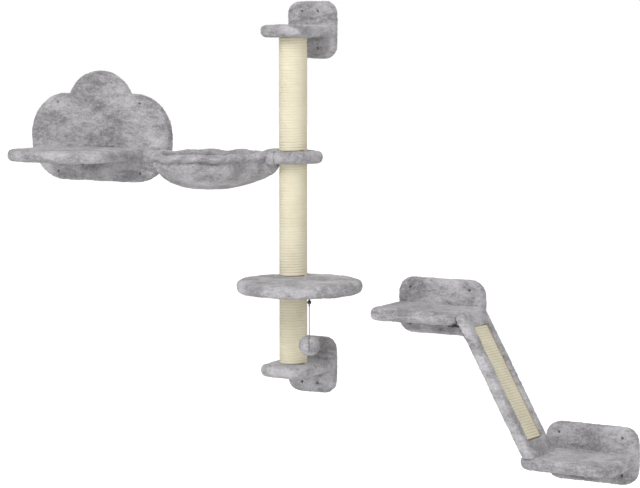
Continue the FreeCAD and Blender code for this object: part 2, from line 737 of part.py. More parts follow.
def disc_pair(prefix, x, y, top, across, bores):
    """Round board and its plush cover."""
    board = cylinder(f"{prefix}_board_blank", f"{across} / 2 - Sizes.plush", "Sizes.board",
                     at(x, y, top - shelf_thick + size("plush")))
    node(cut(f"{prefix}_board_solid", board, *bores), f"{prefix}_board")
    body = new_body(f"{prefix}_cover_blank", at(x, y, top - shelf_thick))
    sketch = new_sketch(body, f"{prefix}_cover_outline", "XY_Plane")
    circle_outline(sketch, f"{across} / 2")
    slab = pad(body, sketch, f"{prefix}_cover_slab", "Sizes.board + 2 * Sizes.plush")
    body.Tip = round_edges(body, slab, f"{prefix}_cover_soft", "Sizes.soft_edge",
                           lambda edge: round(edge.BoundBox.ZLength, 2) == 0)
    cavity = cylinder(f"{prefix}_cavity", f"{across} / 2 - Sizes.plush", "Sizes.board",
                      at(x, y, top - shelf_thick + size("plush")))
    node(cut(f"{prefix}_cover_solid", body, cavity, *bores), f"{prefix}_cover")


def prong_entry():
    """Distance from the column's axis to where a prong enters the collar's edge."""
    return math.sqrt((size("collar_across") / 2) ** 2 - (size("prong_gap") / 2) ** 2)


def prong_bores():
    """Holes for the ring's prongs in the collar's edge."""
    bores = []
    for k, side in enumerate((-1, 1)):
        local = Placement(Vector(-size("collar_across"), side * size("prong_gap") / 2, 0),
                          Rotation(Vector(0, 1, 0), 90))
        reach = size("collar_across") - prong_entry() + size("prong_bite")
        bore = cylinder(f"prong_bore_{k}", "Sizes.ring_rod / 2 + Sizes.screw_play", f"{reach}",
                        swing.multiply(local))
        bores.append(bore)
    return bores


def ring_corners():
    """Where the rod's prongs, bends and big arc meet, on the prong's side."""
    bend = size("prong_bend")
    offset = size("prong_gap") / 2 + bend
    reach = size("ring_reach")
    radius = size("ring_radius")
    along = math.sqrt((radius + bend) ** 2 - offset ** 2)
    middle = Vector(along - reach, offset, 0)
    share = radius / (radius + bend)
    meet = Vector(-reach + along * share, offset * share, 0)
    return middle, meet


def ring_path(tip):
    """Path of the ring's centre line, from one prong's tip round to the other's."""
    middle, meet = ring_corners()
    bend = size("prong_bend")
    gap = size("prong_gap") / 2
    reach = size("ring_reach")
    leave = Vector(middle.x, gap, 0)
    towards = (meet - middle).normalize() + (leave - middle).normalize()
    knee = middle + towards.normalize() * bend
    far = Vector(-reach - size("ring_radius"), 0, 0)

    def mirrored(point):
        return Vector(point.x, -point.y, 0)
    edges = []
    if tip is not None:
        edges.append(Part.LineSegment(Vector(tip, gap, 0), leave).toShape())
        edges.append(Part.Arc(leave, knee, meet).toShape())
    edges.append(Part.Arc(meet, far, mirrored(meet)).toShape())
    if tip is not None:
        edges.append(Part.Arc(mirrored(meet), mirrored(knee), mirrored(leave)).toShape())
        edges.append(Part.LineSegment(mirrored(leave), Vector(tip, -gap, 0)).toShape())
    return Part.Wire(edges)


# Down the sling from rim to bottom: share of the depth, share of the way from the flat bottom's radius to the
# ring's, share of the tail's way back to the bowl, and the tail's radius.
SLING_PROFILE = (
    (0.00, 0.97, 0.00, 32.0),
    (0.30, 0.90, 0.00, 30.0),
    (0.50, 0.82, 0.06, 30.0),
    (0.67, 0.71, 0.20, 32.0),
    (0.82, 0.55, 0.38, 32.0),
    (0.93, 0.30, 0.56, 28.0),
    (1.00, 0.00, 0.72, 20.0),
)


def scalloped_ring(middle_radius, tail_end, tail_radius, level, shrink):
    """Level outline of the sling: a round bowl drawn out to a tail under the collar, with cloth folds.

    The folds are shallow arcs between creases, so the outline is arcs of well under a half circle.
    """
    reach = size("ring_reach")
    radius = middle_radius - shrink
    tail = tail_radius - shrink
    tail_x = tail_end - shrink - tail
    big_x = -reach
    lean = math.asin((radius - tail) / (tail_x - big_x))
    count = int(size("sling_folds"))
    creases = []
    for k in range(count + 1):
        angle = (math.pi / 2 - lean) + (math.pi + 2 * lean) * k / count
        creases.append(Vector(big_x + radius * math.cos(angle), radius * math.sin(angle), level))
    edges = []
    bulge = size("fold_depth") * radius / size("ring_radius")
    for start, end in zip(creases, creases[1:]):
        half = (start + end) * 0.5
        out = Vector(half.x - big_x, half.y, 0).normalize()
        flat = radius - Vector(half.x - big_x, half.y, 0).Length
        edges.append(Part.Arc(start, half + out * (flat + bulge), end).toShape())
    low_side = Vector(tail_x + tail * math.sin(lean), -tail * math.cos(lean), level)
    high_side = Vector(low_side.x, -low_side.y, level)
    edges.append(Part.LineSegment(creases[-1], low_side).toShape())
    nose = Vector(tail_x + tail, 0, level)
    for start, end, side in ((low_side, nose, -1), (nose, high_side, 1)):
        angle = side * (math.pi / 2 - lean) / 2
        between = Vector(tail_x + tail * math.cos(angle), tail * math.sin(angle), level)
        edges.append(Part.Arc(start, between, end).toShape())
    edges.append(Part.LineSegment(high_side, creases[0]).toShape())
    return Part.Wire(edges)


def sling_form(shrink):
    """Closed bowl up to the ring, drawn in by the cloth's thickness and open past the rim for its inside."""
    deep = size("sling_deep")
    floor = size("sling_floor")
    spread = size("ring_radius") - floor
    close = -(size("tube_across") / 2 + size("rope_play") + size("rope") + size("sling_tail_gap"))
    away = -size("ring_reach") - close
    wires = []
    for share, girth, back, tail_radius in SLING_PROFILE:
        level = -deep * share
        if shrink and share == 0:
            level = size("hem")
        if share == 1:
            level += shrink
        wires.append(scalloped_ring(floor + spread * girth, close + away * back, tail_radius, level, shrink))
    return Part.makeLoft(wires, True, False)


def hammock():
    """Collar, ring and sling."""
    bores = [stud_bore("collar_stud_bore", collar_z)] + prong_bores()
    disc_pair("hammock_collar", 0, post_y, collar_z, "Sizes.collar_across", bores)
    tip = -prong_entry() + size("prong_bite")
    rod = tube_on(ring_path(tip), size("ring_rod"))
    node(loose("hammock_ring_solid", rod, swing), "hammock_ring")
    hem = tube_on(ring_path(None), size("hem"))
    rod_room = tube_on(ring_path(tip), size("ring_rod") + 2 * size("screw_play"))
    bowl = sling_form(0).cut(sling_form(size("sling_cloth")))
    collar_room = Part.makeCylinder(size("collar_across") / 2 + size("sling_gap"),
                                    shelf_thick + size("sling_gap"),
                                    Vector(0, 0, -shelf_thick / 2 - size("sling_gap")))
    cloth = bowl.fuse(hem).cut(rod_room).cut(collar_room)
    solids = sorted(cloth.Solids, key=lambda solid: solid.Volume)
    print("hammock_sling:", len(solids), "solids, volume", round(cloth.Volume))
    node(loose("hammock_sling_solid", solids[-1], swing), "hammock_sling")


hammock()


# ---------------------------------------------------------------------------------------------------------
# Perch and hanging toy
# ---------------------------------------------------------------------------------------------------------
toy_x = perch_x + size("toy_right")
toy_y = perch_y - size("toy_forward")
perch_under = perch_z - shelf_thick
knob_z = perch_under - size("anchor_drop")
pivot_z = knob_z - size("anchor_across") / 2 - size("toy_gap") - size("knot_across") / 2
cord_top = pivot_z - size("knot_across") / 2 - size("toy_gap")
ball_z = cord_top - size("cord_long") - size("toy_gap") - size("ball_across") / 2


def perch():
    """Round perch clamped between the middle and the lower length of the column."""
    neck_bore = cylinder("anchor_bore", "Sizes.anchor_neck / 2 + Sizes.screw_play",
                         "Sizes.plush + Sizes.board / 2 + Sizes.overrun",
                         at(toy_x, toy_y, perch_under - size("overrun")))
    disc_pair("perch", perch_x, perch_y, perch_z, "Sizes.perch_across",
              [stud_bore("perch_stud_bore", perch_z), neck_bore])


def ball_of(name, across, z):
    """Sphere on the toy's line."""
    item = doc.addObject("Part::Sphere", name)
    item.setExpression("Radius", f"{across} / 2")
    item.Placement = at(toy_x, toy_y, z)
    return item


def toy():
    """Anchor under the perch, knot, cord and ball."""
    neck = cylinder("anchor_neck_rod", "Sizes.anchor_neck / 2",
                    "Sizes.anchor_drop + Sizes.plush + Sizes.board / 2", at(toy_x, toy_y, knob_z))
    knob = ball_of("anchor_knob", "Sizes.anchor_across", knob_z)
    node(together("toy_anchor_solid", [neck, knob]), "toy_anchor")
    node(ball_of("toy_knot_solid", "Sizes.knot_across", pivot_z), "toy_knot")
    node(cylinder("toy_cord_solid", "Sizes.cord / 2", "Sizes.cord_long",
                  at(toy_x, toy_y, cord_top - size("cord_long"))), "toy_cord")
    node(ball_of("toy_ball_solid", "Sizes.ball_across", ball_z), "toy_ball")


perch()
toy()


# ---------------------------------------------------------------------------------------------------------
# Bed
# ---------------------------------------------------------------------------------------------------------
def bed():
    """Back panel with a round crest, and a deep seat."""
    crest = ("Sizes.crest_radius", "Sizes.crest_up - Sizes.bed_high / 2")
    spots = joint_spots(seat_x, size("seat_joint_gap"))
    joint_z = seat_z - shelf_thick / 2
    holes = (size("bed_holes_wide"), size("bed_holes_high"), bed_z)
    wall_plate("bed_back", bed_x, bed_z, ("Sizes.bed_wide", "Sizes.bed_high", "Sizes.bed_corner"), holes,
               spots, joint_z, crest)
    covered_shelf(("bed_seat_board", "bed_seat_cover"), seat_x, seat_z,
                  ("Sizes.seat_wide", "Sizes.seat_reach", "Sizes.seat_corner"), spots)
    joint_screws("bed_joint_screws", spots, joint_z)


bed()


# ---------------------------------------------------------------------------------------------------------
# Steps
# ---------------------------------------------------------------------------------------------------------
def step(prefix, x, plate_z, bores=()):
    """Small shelf on its own wall plate; the bores are those of what is screwed to the shelf."""
    top = plate_z + size("step_shelf_rise")
    spots = joint_spots(x, size("step_joint_gap"))
    joint_z = top - shelf_thick / 2
    holes = (size("step_holes_wide"), size("step_holes_high"), plate_z)
    wall_plate(f"{prefix}_wall", x, plate_z, STEP_PLATE, holes, spots, joint_z)
    covered_shelf((f"{prefix}_board", f"{prefix}_cover"), x, top, STEP_SHELF, spots, bores)
    joint_screws(f"{prefix}_joint_screws", spots, joint_z)


# ---------------------------------------------------------------------------------------------------------
# Ramp between the steps. In its own frame X runs down the slope from the upper end, Y is the wall's normal
# turned round and Z points out of the walking face; the board's middle is Z = 0.
# ---------------------------------------------------------------------------------------------------------
upper_top = -size("upper_step_drop") + size("step_shelf_rise")
lower_top = -size("lower_step_drop") + size("step_shelf_rise")
ramp_thick = size("board") + 2 * size("ramp_plush")
head_point = Vector(size("upper_step_right") + size("step_shelf_wide") / 2 + size("ramp_gap"), 0, upper_top)
heel_point = Vector(size("lower_step_right") - size("step_shelf_wide") / 2 + size("ramp_inset"), 0, lower_top)
slope = math.atan2(head_point.z - heel_point.z, heel_point.x - head_point.x)
tilt = Rotation(Vector(0, 1, 0), math.degrees(slope))
down_slope = tilt.multVec(Vector(1, 0, 0))
out_of_face = tilt.multVec(Vector(0, 0, 1))
head_skip = (math.cos(slope) * ramp_thick - size("ramp_rise")) / math.sin(slope)
ramp_y = -size("ramp_forward") - size("ramp_wide") / 2
ramp_origin = head_point + down_slope * head_skip + out_of_face * (ramp_thick / 2) + Vector(0, ramp_y, 0)
ramp_frame = Placement(ramp_origin, tilt)
ramp_middle_long = (ramp_origin.z - lower_top) / math.sin(slope)      # along its middle to the lower step
ramp_blank_long = ramp_middle_long + ramp_thick / math.tan(slope)
inlay_long = ramp_middle_long - size("inlay_start") - size("inlay_end")     # wound length


def on_ramp(x, y, z, turn=Rotation()):
    """Placement given in the ramp's frame."""
    return ramp_frame.multiply(at(x, y, z, turn))


def below(name, level):
    """Block that takes away what reaches below a level at the ramp's heel."""
    long = 4 * ramp_thick
    return box(name, f"{2 * long}", "Sizes.ramp_wide + 2 * Sizes.overrun", f"{long}",
               at(heel_point.x - long, ramp_y - size("ramp_wide") / 2 - size("overrun"), level - long))


def ramp_window(name):
    """Opening that the wound inlay sits in."""
    play = size("inlay_play")
    return box(name, f"{inlay_long} + 2 * Sizes.inlay_play", "Sizes.inlay_wide + 2 * Sizes.inlay_play",
               "Sizes.board + 2 * Sizes.ramp_plush + 2 * Sizes.overrun",
               on_ramp(size("inlay_start") - play, -size("inlay_wide") / 2 - play,
                       -ramp_thick / 2 - size("overrun")))


def stadium(half_flat, radius, x):
    """Wire round the wound inlay's section at a place along the ramp: two flats and two round ends."""
    edges = []
    corners = [Vector(x, -half_flat, radius), Vector(x, half_flat, radius),
               Vector(x, half_flat, -radius), Vector(x, -half_flat, -radius)]
    for k, side in ((0, 1), (2, -1)):
        start, end = corners[k], corners[k + 1]
        tip = Vector(x, side * (half_flat + radius), 0)
        quarter = radius * math.sqrt(0.5)
        edges.append(Part.LineSegment(start, end).toShape())
        upper = Vector(x, side * (half_flat + quarter), side * quarter)
        lower = Vector(x, side * (half_flat + quarter), -side * quarter)
        edges.append(Part.Arc(end, upper, tip).toShape())
        edges.append(Part.Arc(tip, lower, corners[(k + 2) % 4]).toShape())
    return Part.Wire(edges)


def inlay_rope():
    """Sisal rope wound round the inlay board, with plain wraps past the turns."""
    rope = size("ramp_rope")
    pitch = size("ramp_rope_pitch")
    radius = size("inlay_board") / 2 + size("ramp_rope_play") + rope / 2
    half_flat = size("inlay_wide") / 2 - radius - rope / 2
    gap = size("wrap_gap")
    loops = max(1, min(int(size("ramp_rope_loops")), int((inlay_long - rope - 2 * gap) / pitch)))
    start = size("inlay_start") + (inlay_long - (loops - 0.5) * pitch) / 2
    edges = []
    runs = 2 * loops
    for k in range(runs):
        side = 1 if k % 2 == 0 else -1
        x = start + k * pitch / 2
        along = Vector(0, side, 0)
        begin = Vector(x, -side * half_flat, side * radius)
        end = Vector(x, side * half_flat, side * radius)
        edges.append(Part.LineSegment(begin, end).toShape())
        if k < runs - 1:
            following = Vector(x + pitch / 2, side * half_flat, -side * radius)
            edges += biarc(end, along, following, along * -1)
    path = Part.Wire(edges)
    tube = tube_on(path, rope)
    loop_long = 4 * half_flat + 2 * math.pi * radius
    print(f"ramp_rope: {loops} turns, least gap to itself {least_gap(path, rope, loop_long):.2f} mm")
    last = start + (loops - 0.5) * pitch
    wraps = []
    ends = ((size("inlay_start"), start - rope / 2 - gap),
            (last + rope / 2 + gap, size("inlay_start") + inlay_long))
    for low, high in ends:
        if high - low > rope / 2:
            push = Vector(high - low, 0, 0)
            outer = Part.Face(stadium(half_flat, radius + rope / 2, low)).extrude(push)
            inner = Part.Face(stadium(half_flat, radius - rope / 2, low)).extrude(push)
            wraps.append(outer.cut(inner))
    return Part.makeCompound([tube] + wraps)


def ramp_straps():
    """Bent steel straps under the upper step: their outline, their screws and the bores of both legs."""
    thick = size("strap_thick")
    leg = size("strap_leg")
    screw_out = size("strap_screw_out")
    under = upper_top - shelf_thick
    corner = heel_point - down_slope * ((under - heel_point.z) / math.sin(slope))
    end = corner + down_slope * leg
    inward = out_of_face * -thick
    inner_bend = end + inward + down_slope * ((end.z + inward.z - under + thick) / math.sin(slope))
    tail = corner + Vector(-leg, 0, 0)
    outline = [corner, end, end + inward, inner_bend, tail + Vector(0, 0, -thick), tail]
    straps, screws, step_bores, ramp_bores = [], [], [], []
    through_step = "Sizes.strap_thick + Sizes.plush"
    through_ramp = "Sizes.strap_thick + Sizes.ramp_plush"
    for k, side in enumerate((-1, 1)):
        y = ramp_y + side * size("strap_gap") / 2
        points = [Vector(p.x, y - size("strap_wide") / 2, p.z) for p in outline]
        face = Part.Face(Part.makePolygon(points + points[:1]))
        straps.append(face.extrude(Vector(0, size("strap_wide"), 0)))
        spot = Vector(corner.x - screw_out, y, under - thick)
        screws += small_screw(f"strap_up_screw_{k}", spot, UPRIGHT, through_step)
        step_bores.append(small_bore(f"strap_up_bore_{k}", spot, UPRIGHT, through_step))
        spot = corner + down_slope * screw_out + inward
        spot.y = y
        screws += small_screw(f"strap_ramp_screw_{k}", spot, tilt, through_ramp)
        ramp_bores.append(small_bore(f"strap_ramp_bore_{k}", spot, tilt, through_ramp))
    blanks = loose("ramp_strap_blanks", Part.makeCompound(straps))
    return blanks, screws, step_bores, ramp_bores


def heel_screws():
    """Long screws from under the lower step up into the ramp's heel, with their bores and head seats."""
    uphill = Rotation(Vector(0, 1, 0), -90)
    board_under = lower_top - size("plush") - size("board")
    seat = ramp_middle_long + (lower_top - board_under) / math.sin(slope) - 2 * size("screw_head_deep")
    screws, bores, wells = [], [], []
    for k, side in enumerate((-1, 1)):
        y = side * size("heel_screw_gap") / 2
        shank_long = seat - ramp_middle_long + size("screw_bite")
        screws.append(cylinder(f"heel_shank_{k}", "Sizes.screw_shank / 2", f"{shank_long}",
                               on_ramp(seat, y, 0, uphill)))
        screws.append(cylinder(f"heel_head_{k}", "Sizes.screw_head / 2", "Sizes.screw_head_deep",
                               on_ramp(seat + size("screw_head_deep"), y, 0, uphill)))
        bores.append(cylinder(f"heel_bore_{k}", "Sizes.screw_shank / 2 + Sizes.screw_play",
                              f"{shank_long} + Sizes.tip_room", on_ramp(seat, y, 0, uphill)))
        wells.append(cylinder(f"heel_well_{k}", "Sizes.screw_head / 2 + Sizes.screw_play", f"{shelf_thick}",
                              on_ramp(seat + shelf_thick, y, 0, uphill)))
    return screws, bores, wells


def ramp():
    """Covered board with a window, the rope-wound inlay in it, and what holds the ramp to the steps."""
    straps, strap_screws, step_bores, ramp_bores = ramp_straps()
    long_screws, heel_bores, heel_wells = heel_screws()
    step("upper_step", size("upper_step_right"), -size("upper_step_drop"), step_bores)
    step("lower_step", size("lower_step_right"), -size("lower_step_drop"), heel_bores + heel_wells)
    plush = size("ramp_plush")
    half = size("ramp_wide") / 2
    inlay_start = size("inlay_start")
    tab = size("inlay_tab")
    play = size("inlay_play")
    tab_wide = "(Sizes.inlay_wide - Sizes.inlay_board - 2 * Sizes.ramp_rope_play - 2 * Sizes.ramp_rope)"
    half_tab = (size("inlay_wide") - size("inlay_board")) / 2 - size("ramp_rope_play") - size("ramp_rope")
    tab_spots = [(x, side * size("tab_screw_gap") / 2) for side in (-1, 1)
                 for x in (inlay_start - tab / 2, inlay_start + inlay_long + tab / 2)]
    inlay_screws, inlay_bores = [], []
    top = size("inlay_board") / 2
    for k, (x, y) in enumerate(tab_spots):
        place = on_ramp(x, y, top, DOWNWARD)
        head = cylinder(f"inlay_head_{k}", "Sizes.small_head / 2", "Sizes.small_head_deep", on_ramp(x, y, top))
        shank = cylinder(f"inlay_shank_{k}", "Sizes.small_screw / 2",
                         "(Sizes.board + Sizes.inlay_board) / 2 - 2 * Sizes.tip_room", place)
        inlay_screws += [head, shank]
        inlay_bores.append(cylinder(f"inlay_bore_{k}", "Sizes.small_screw / 2 + Sizes.screw_play",
                                    "(Sizes.board + Sizes.inlay_board) / 2 - Sizes.tip_room", place))
    rebate = box("inlay_rebate", f"{inlay_long} + 2 * Sizes.inlay_tab + 2 * Sizes.inlay_play",
                 f"{tab_wide} + 2 * Sizes.inlay_play", "(Sizes.board + Sizes.inlay_board) / 2",
                 on_ramp(inlay_start - tab - play, -half_tab - play, -top))
    blank = box("ramp_board_blank", f"{ramp_blank_long - plush}", "Sizes.ramp_wide - 2 * Sizes.ramp_plush",
                "Sizes.board", on_ramp(plush, plush - half, -size("board") / 2))
    node(cut("ramp_board_solid", blank, below("ramp_board_foot", lower_top + plush),
             ramp_window("ramp_board_window"), rebate, *inlay_bores, *ramp_bores, *heel_bores), "ramp_board")
    body = new_body("ramp_cover_blank", on_ramp(ramp_blank_long / 2, 0, -ramp_thick / 2))
    sketch = new_sketch(body, "ramp_cover_outline", "XY_Plane")
    rounded_outline(sketch, f"{ramp_blank_long}", "Sizes.ramp_wide", "Sizes.ramp_corner")
    slab = pad(body, sketch, "ramp_cover_slab", "Sizes.board + 2 * Sizes.ramp_plush")
    body.Tip = round_edges(body, slab, "ramp_cover_soft", "Sizes.ramp_edge",
                           lambda edge: round(edge.tangentAt(edge.FirstParameter).z, 2) == 0)
    hollow = box("ramp_cover_hollow", f"{ramp_blank_long - plush}",
                 "Sizes.ramp_wide - 2 * Sizes.ramp_plush", "Sizes.board",
                 on_ramp(plush, plush - half, -size("board") / 2))
    cavity = cut("ramp_cover_cavity", hollow, below("ramp_cavity_foot", lower_top + plush))
    node(cut("ramp_cover_solid", body, cavity, below("ramp_cover_foot", lower_top),
             ramp_window("ramp_cover_window"), *ramp_bores, *heel_bores), "ramp_cover")
    board = box("ramp_inlay_blank", f"{inlay_long} + 2 * Sizes.inlay_tab", tab_wide, "Sizes.inlay_board",
                on_ramp(inlay_start - tab, -half_tab, -top))
    node(cut("ramp_inlay_solid", board, *inlay_bores), "ramp_inlay_board")
    node(loose("ramp_rope_solid", inlay_rope(), ramp_frame), "ramp_rope")
    node(together("inlay_screws_solid", inlay_screws), "ramp_inlay_screws")
    node(cut("ramp_straps_solid", straps, *step_bores, *ramp_bores), "ramp_straps")
    node(together("strap_screws_solid", strap_screws), "ramp_strap_screws")
    node(together("heel_screws_solid", long_screws), "ramp_heel_screws")


ramp()


def finish():
    """Check every object, then write one file for each piece."""
    doc.recompute()
    for item in doc.Objects:
        if "Invalid" in item.State or "Error" in item.State:
            raise RuntimeError(f"{item.Name} failed: {item.State}")
    for item in NODES:
        if item.Shape.isNull() or not item.Shape.isValid():
            raise RuntimeError(f"{item.Label} has no valid shape")
    os.makedirs("parts", exist_ok=True)
    for item in NODES:
        item.Shape.exportStep(f"parts/{item.Label}.step")
    print(len(NODES), "pieces written")


finish()
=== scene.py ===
"""Wall mounted cat tree: plush covers, wound sisal, hammock, hanging toy, and a plain studio around them.

Metres, in the construction model's frame: the wall is the plane Y = 0, X runs right along it and Z is up.
"""
import json
import logging
import math
from dataclasses import dataclass, field
from enum import Enum
from typing import Callable, Optional, Sequence, Union

import bmesh
import bpy
import numpy as np
from mathutils import Matrix, Vector


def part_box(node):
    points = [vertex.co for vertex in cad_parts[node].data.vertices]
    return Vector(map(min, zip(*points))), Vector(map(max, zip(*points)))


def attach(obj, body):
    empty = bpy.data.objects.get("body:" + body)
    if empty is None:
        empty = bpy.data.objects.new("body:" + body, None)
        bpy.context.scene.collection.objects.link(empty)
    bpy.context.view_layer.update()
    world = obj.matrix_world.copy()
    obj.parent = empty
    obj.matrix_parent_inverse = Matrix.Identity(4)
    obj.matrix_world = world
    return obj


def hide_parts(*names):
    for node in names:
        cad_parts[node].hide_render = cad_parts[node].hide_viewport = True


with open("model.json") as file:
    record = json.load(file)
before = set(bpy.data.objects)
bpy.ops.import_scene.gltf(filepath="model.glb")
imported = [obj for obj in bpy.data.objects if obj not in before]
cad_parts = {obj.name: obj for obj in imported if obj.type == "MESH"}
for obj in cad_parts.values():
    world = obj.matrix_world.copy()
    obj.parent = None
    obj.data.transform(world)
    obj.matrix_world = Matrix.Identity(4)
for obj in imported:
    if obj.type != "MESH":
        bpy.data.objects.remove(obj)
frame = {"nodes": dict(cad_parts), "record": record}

LOG = logging.getLogger("cat_tree")
MM = 0.001
Box = tuple[Vector, Vector]
Colour = tuple[float, float, float]
WHITE: Colour = (1.0, 1.0, 1.0)
STRANDS = 3.0


# -----------------------------------------------------------------------------------------------------------
# Modelling bench
# -----------------------------------------------------------------------------------------------------------
class Axis(Enum):
    """A direction of the model's frame."""

    X = 0
    Y = 1
    Z = 2


def deselect() -> None:
    """Leave edit mode and deselect every object."""
    if bpy.context.object and bpy.context.object.mode != "OBJECT":
        bpy.ops.object.mode_set(mode="OBJECT")
    bpy.ops.object.select_all(action="DESELECT")


def only(piece: bpy.types.Object) -> None:
    """Make a piece the one selected and active object."""
    deselect()
    piece.select_set(True)
    bpy.context.view_layer.objects.active = piece


def finish_modifier(piece: bpy.types.Object, kind: str, **settings: object) -> None:
    """Add a modifier with its settings and apply it.

    Args:
        piece: The mesh object.
        kind: Blender's name of the modifier's type.
        **settings: Its properties.
    """
    only(piece)
    modifier = piece.modifiers.new(kind.lower(), kind)
    for name, value in settings.items():
        setattr(modifier, name, value)
    bpy.ops.object.modifier_apply(modifier=modifier.name)


def pick(piece: bpy.types.Object, what: str, test: Callable[[object], bool]) -> None:
    """Enter edit mode with only those faces, edges or vertices selected that a test picks out.

    Args:
        piece: The mesh object.
        what: "FACE", "EDGE" or "VERT".
        test: Takes a bmesh element and says whether it is wanted.
    """
    only(piece)
    bpy.ops.object.mode_set(mode="EDIT")
    bpy.ops.mesh.select_mode(type=what)
    bpy.ops.mesh.select_all(action="DESELECT")
    shape = bmesh.from_edit_mesh(piece.data)
    elements = {"FACE": shape.faces, "EDGE": shape.edges, "VERT": shape.verts}[what]
    for element in elements:
        if test(element):
            element.select_set(True)
    shape.select_flush_mode()
    bmesh.update_edit_mesh(piece.data)


def edge_along(edge: bmesh.types.BMEdge, axis: Axis) -> bool:
    """Whether an edge runs along an axis."""
    run = edge.verts[1].co - edge.verts[0].co
    return abs(run[axis.value]) > 0.999 * run.length


def edge_level(edge: bmesh.types.BMEdge) -> bool:
    """Whether an edge lies level."""
    return abs(edge.verts[0].co.z - edge.verts[1].co.z) < 0.001 * MM


def near(first: float, second: float) -> bool:
    """Whether two coordinates are the same but for rounding."""
    return abs(first - second) < 0.01 * MM


def add_block(name: str, low: Vector, high: Vector) -> bpy.types.Object:
    """Cube brought to its size and place in edit mode.

    Args:
        name: The piece's name.
        low: Lowest corner.
        high: Highest corner.

    Returns:
        The new object, standing at the origin.
    """
    deselect()
    bpy.ops.mesh.primitive_cube_add(size=1.0, location=(0, 0, 0))
    piece = bpy.context.object
    piece.name = piece.data.name = name
    bpy.ops.object.mode_set(mode="EDIT")
    bpy.ops.mesh.select_all(action="SELECT")
    bpy.ops.transform.resize(value=tuple(high - low))
    bpy.ops.transform.translate(value=tuple((high + low) / 2))
    bpy.ops.object.mode_set(mode="OBJECT")
    return piece


def add_disc(name: str, centre: Vector, radius: float, thick: float, axis: Axis = Axis.Z,
             sides: int = 96) -> bpy.types.Object:
    """Round slab about a centre.

    Args:
        name: The piece's name.
        centre: Its middle.
        radius: Its radius.
        thick: Its thickness along the axis.
        axis: The axis that it is round about.
        sides: How many sides its outline has.

    Returns:
        The new object, standing at the origin.
    """
    deselect()
    turn = {Axis.X: (0, math.pi / 2, 0), Axis.Y: (math.pi / 2, 0, 0), Axis.Z: (0, 0, 0)}[axis]
    bpy.ops.mesh.primitive_cylinder_add(vertices=sides, radius=radius, depth=thick, location=tuple(centre),
                                        rotation=turn)
    piece = bpy.context.object
    piece.name = piece.data.name = name
    bpy.ops.object.transform_apply(location=True, rotation=True, scale=True)
    return piece


def bevel_edges(piece: bpy.types.Object, width: float, segments: int,
                test: Callable[[bmesh.types.BMEdge], bool]) -> None:
    """Round the edges that a test picks out.

    Args:
        piece: The mesh object.
        width: How far the rounding reaches from the edge.
        segments: How many faces it has.
        test: Takes an edge and says whether it is rounded.
    """
    pick(piece, "EDGE", test)
    bpy.ops.mesh.bevel(offset=width, segments=segments, profile=0.5, affect="EDGES", clamp_overlap=True)
    bpy.ops.object.mode_set(mode="OBJECT")


def combine(piece: bpy.types.Object, other: bpy.types.Object, operation: str) -> None:
    """Boolean of a piece with another, which is then removed.

    Args:
        piece: The mesh that is changed.
        other: The mesh that is added or taken away.
        operation: "UNION" or "DIFFERENCE".
    """
    finish_modifier(piece, "BOOLEAN", object=other, operation=operation, solver="EXACT")
    bpy.data.objects.remove(other)


def texture(name: str, scale: float, depth: int = 2) -> bpy.types.Texture:
    """Clouds texture for a Displace modifier.

    Args:
        name: Its name.
        scale: Size of its clouds, in metres.
        depth: How many finer layers it has.

    Returns:
        The texture.
    """
    clouds = bpy.data.textures.new(name, "CLOUDS")
    clouds.noise_scale = scale
    clouds.noise_depth = depth
    clouds.noise_basis = "IMPROVED_PERLIN"
    return clouds


def smooth(piece: bpy.types.Object) -> None:
    """Shade a piece smooth."""
    only(piece)
    bpy.ops.object.shade_smooth()


def face_outwards(piece: bpy.types.Object) -> None:
    """Turn all faces of a closed mesh outwards."""
    only(piece)
    bpy.ops.object.mode_set(mode="EDIT")
    bpy.ops.mesh.select_all(action="SELECT")
    bpy.ops.mesh.normals_make_consistent(inside=False)
    bpy.ops.object.mode_set(mode="OBJECT")


def mesh_piece(name: str, points: Sequence, faces: Sequence) -> bpy.types.Object:
    """Object from points and faces that are worked out in code.

    Args:
        name: Its name.
        points: Its points, in metres.
        faces: Its faces, as indices of the points.

    Returns:
        The new object, standing at the origin.
    """
    data = bpy.data.meshes.new(name)
    data.from_pydata([tuple(p) for p in points], [], [tuple(f) for f in faces])
    data.update()
    piece = bpy.data.objects.new(name, data)
    bpy.context.scene.collection.objects.link(piece)
    return piece


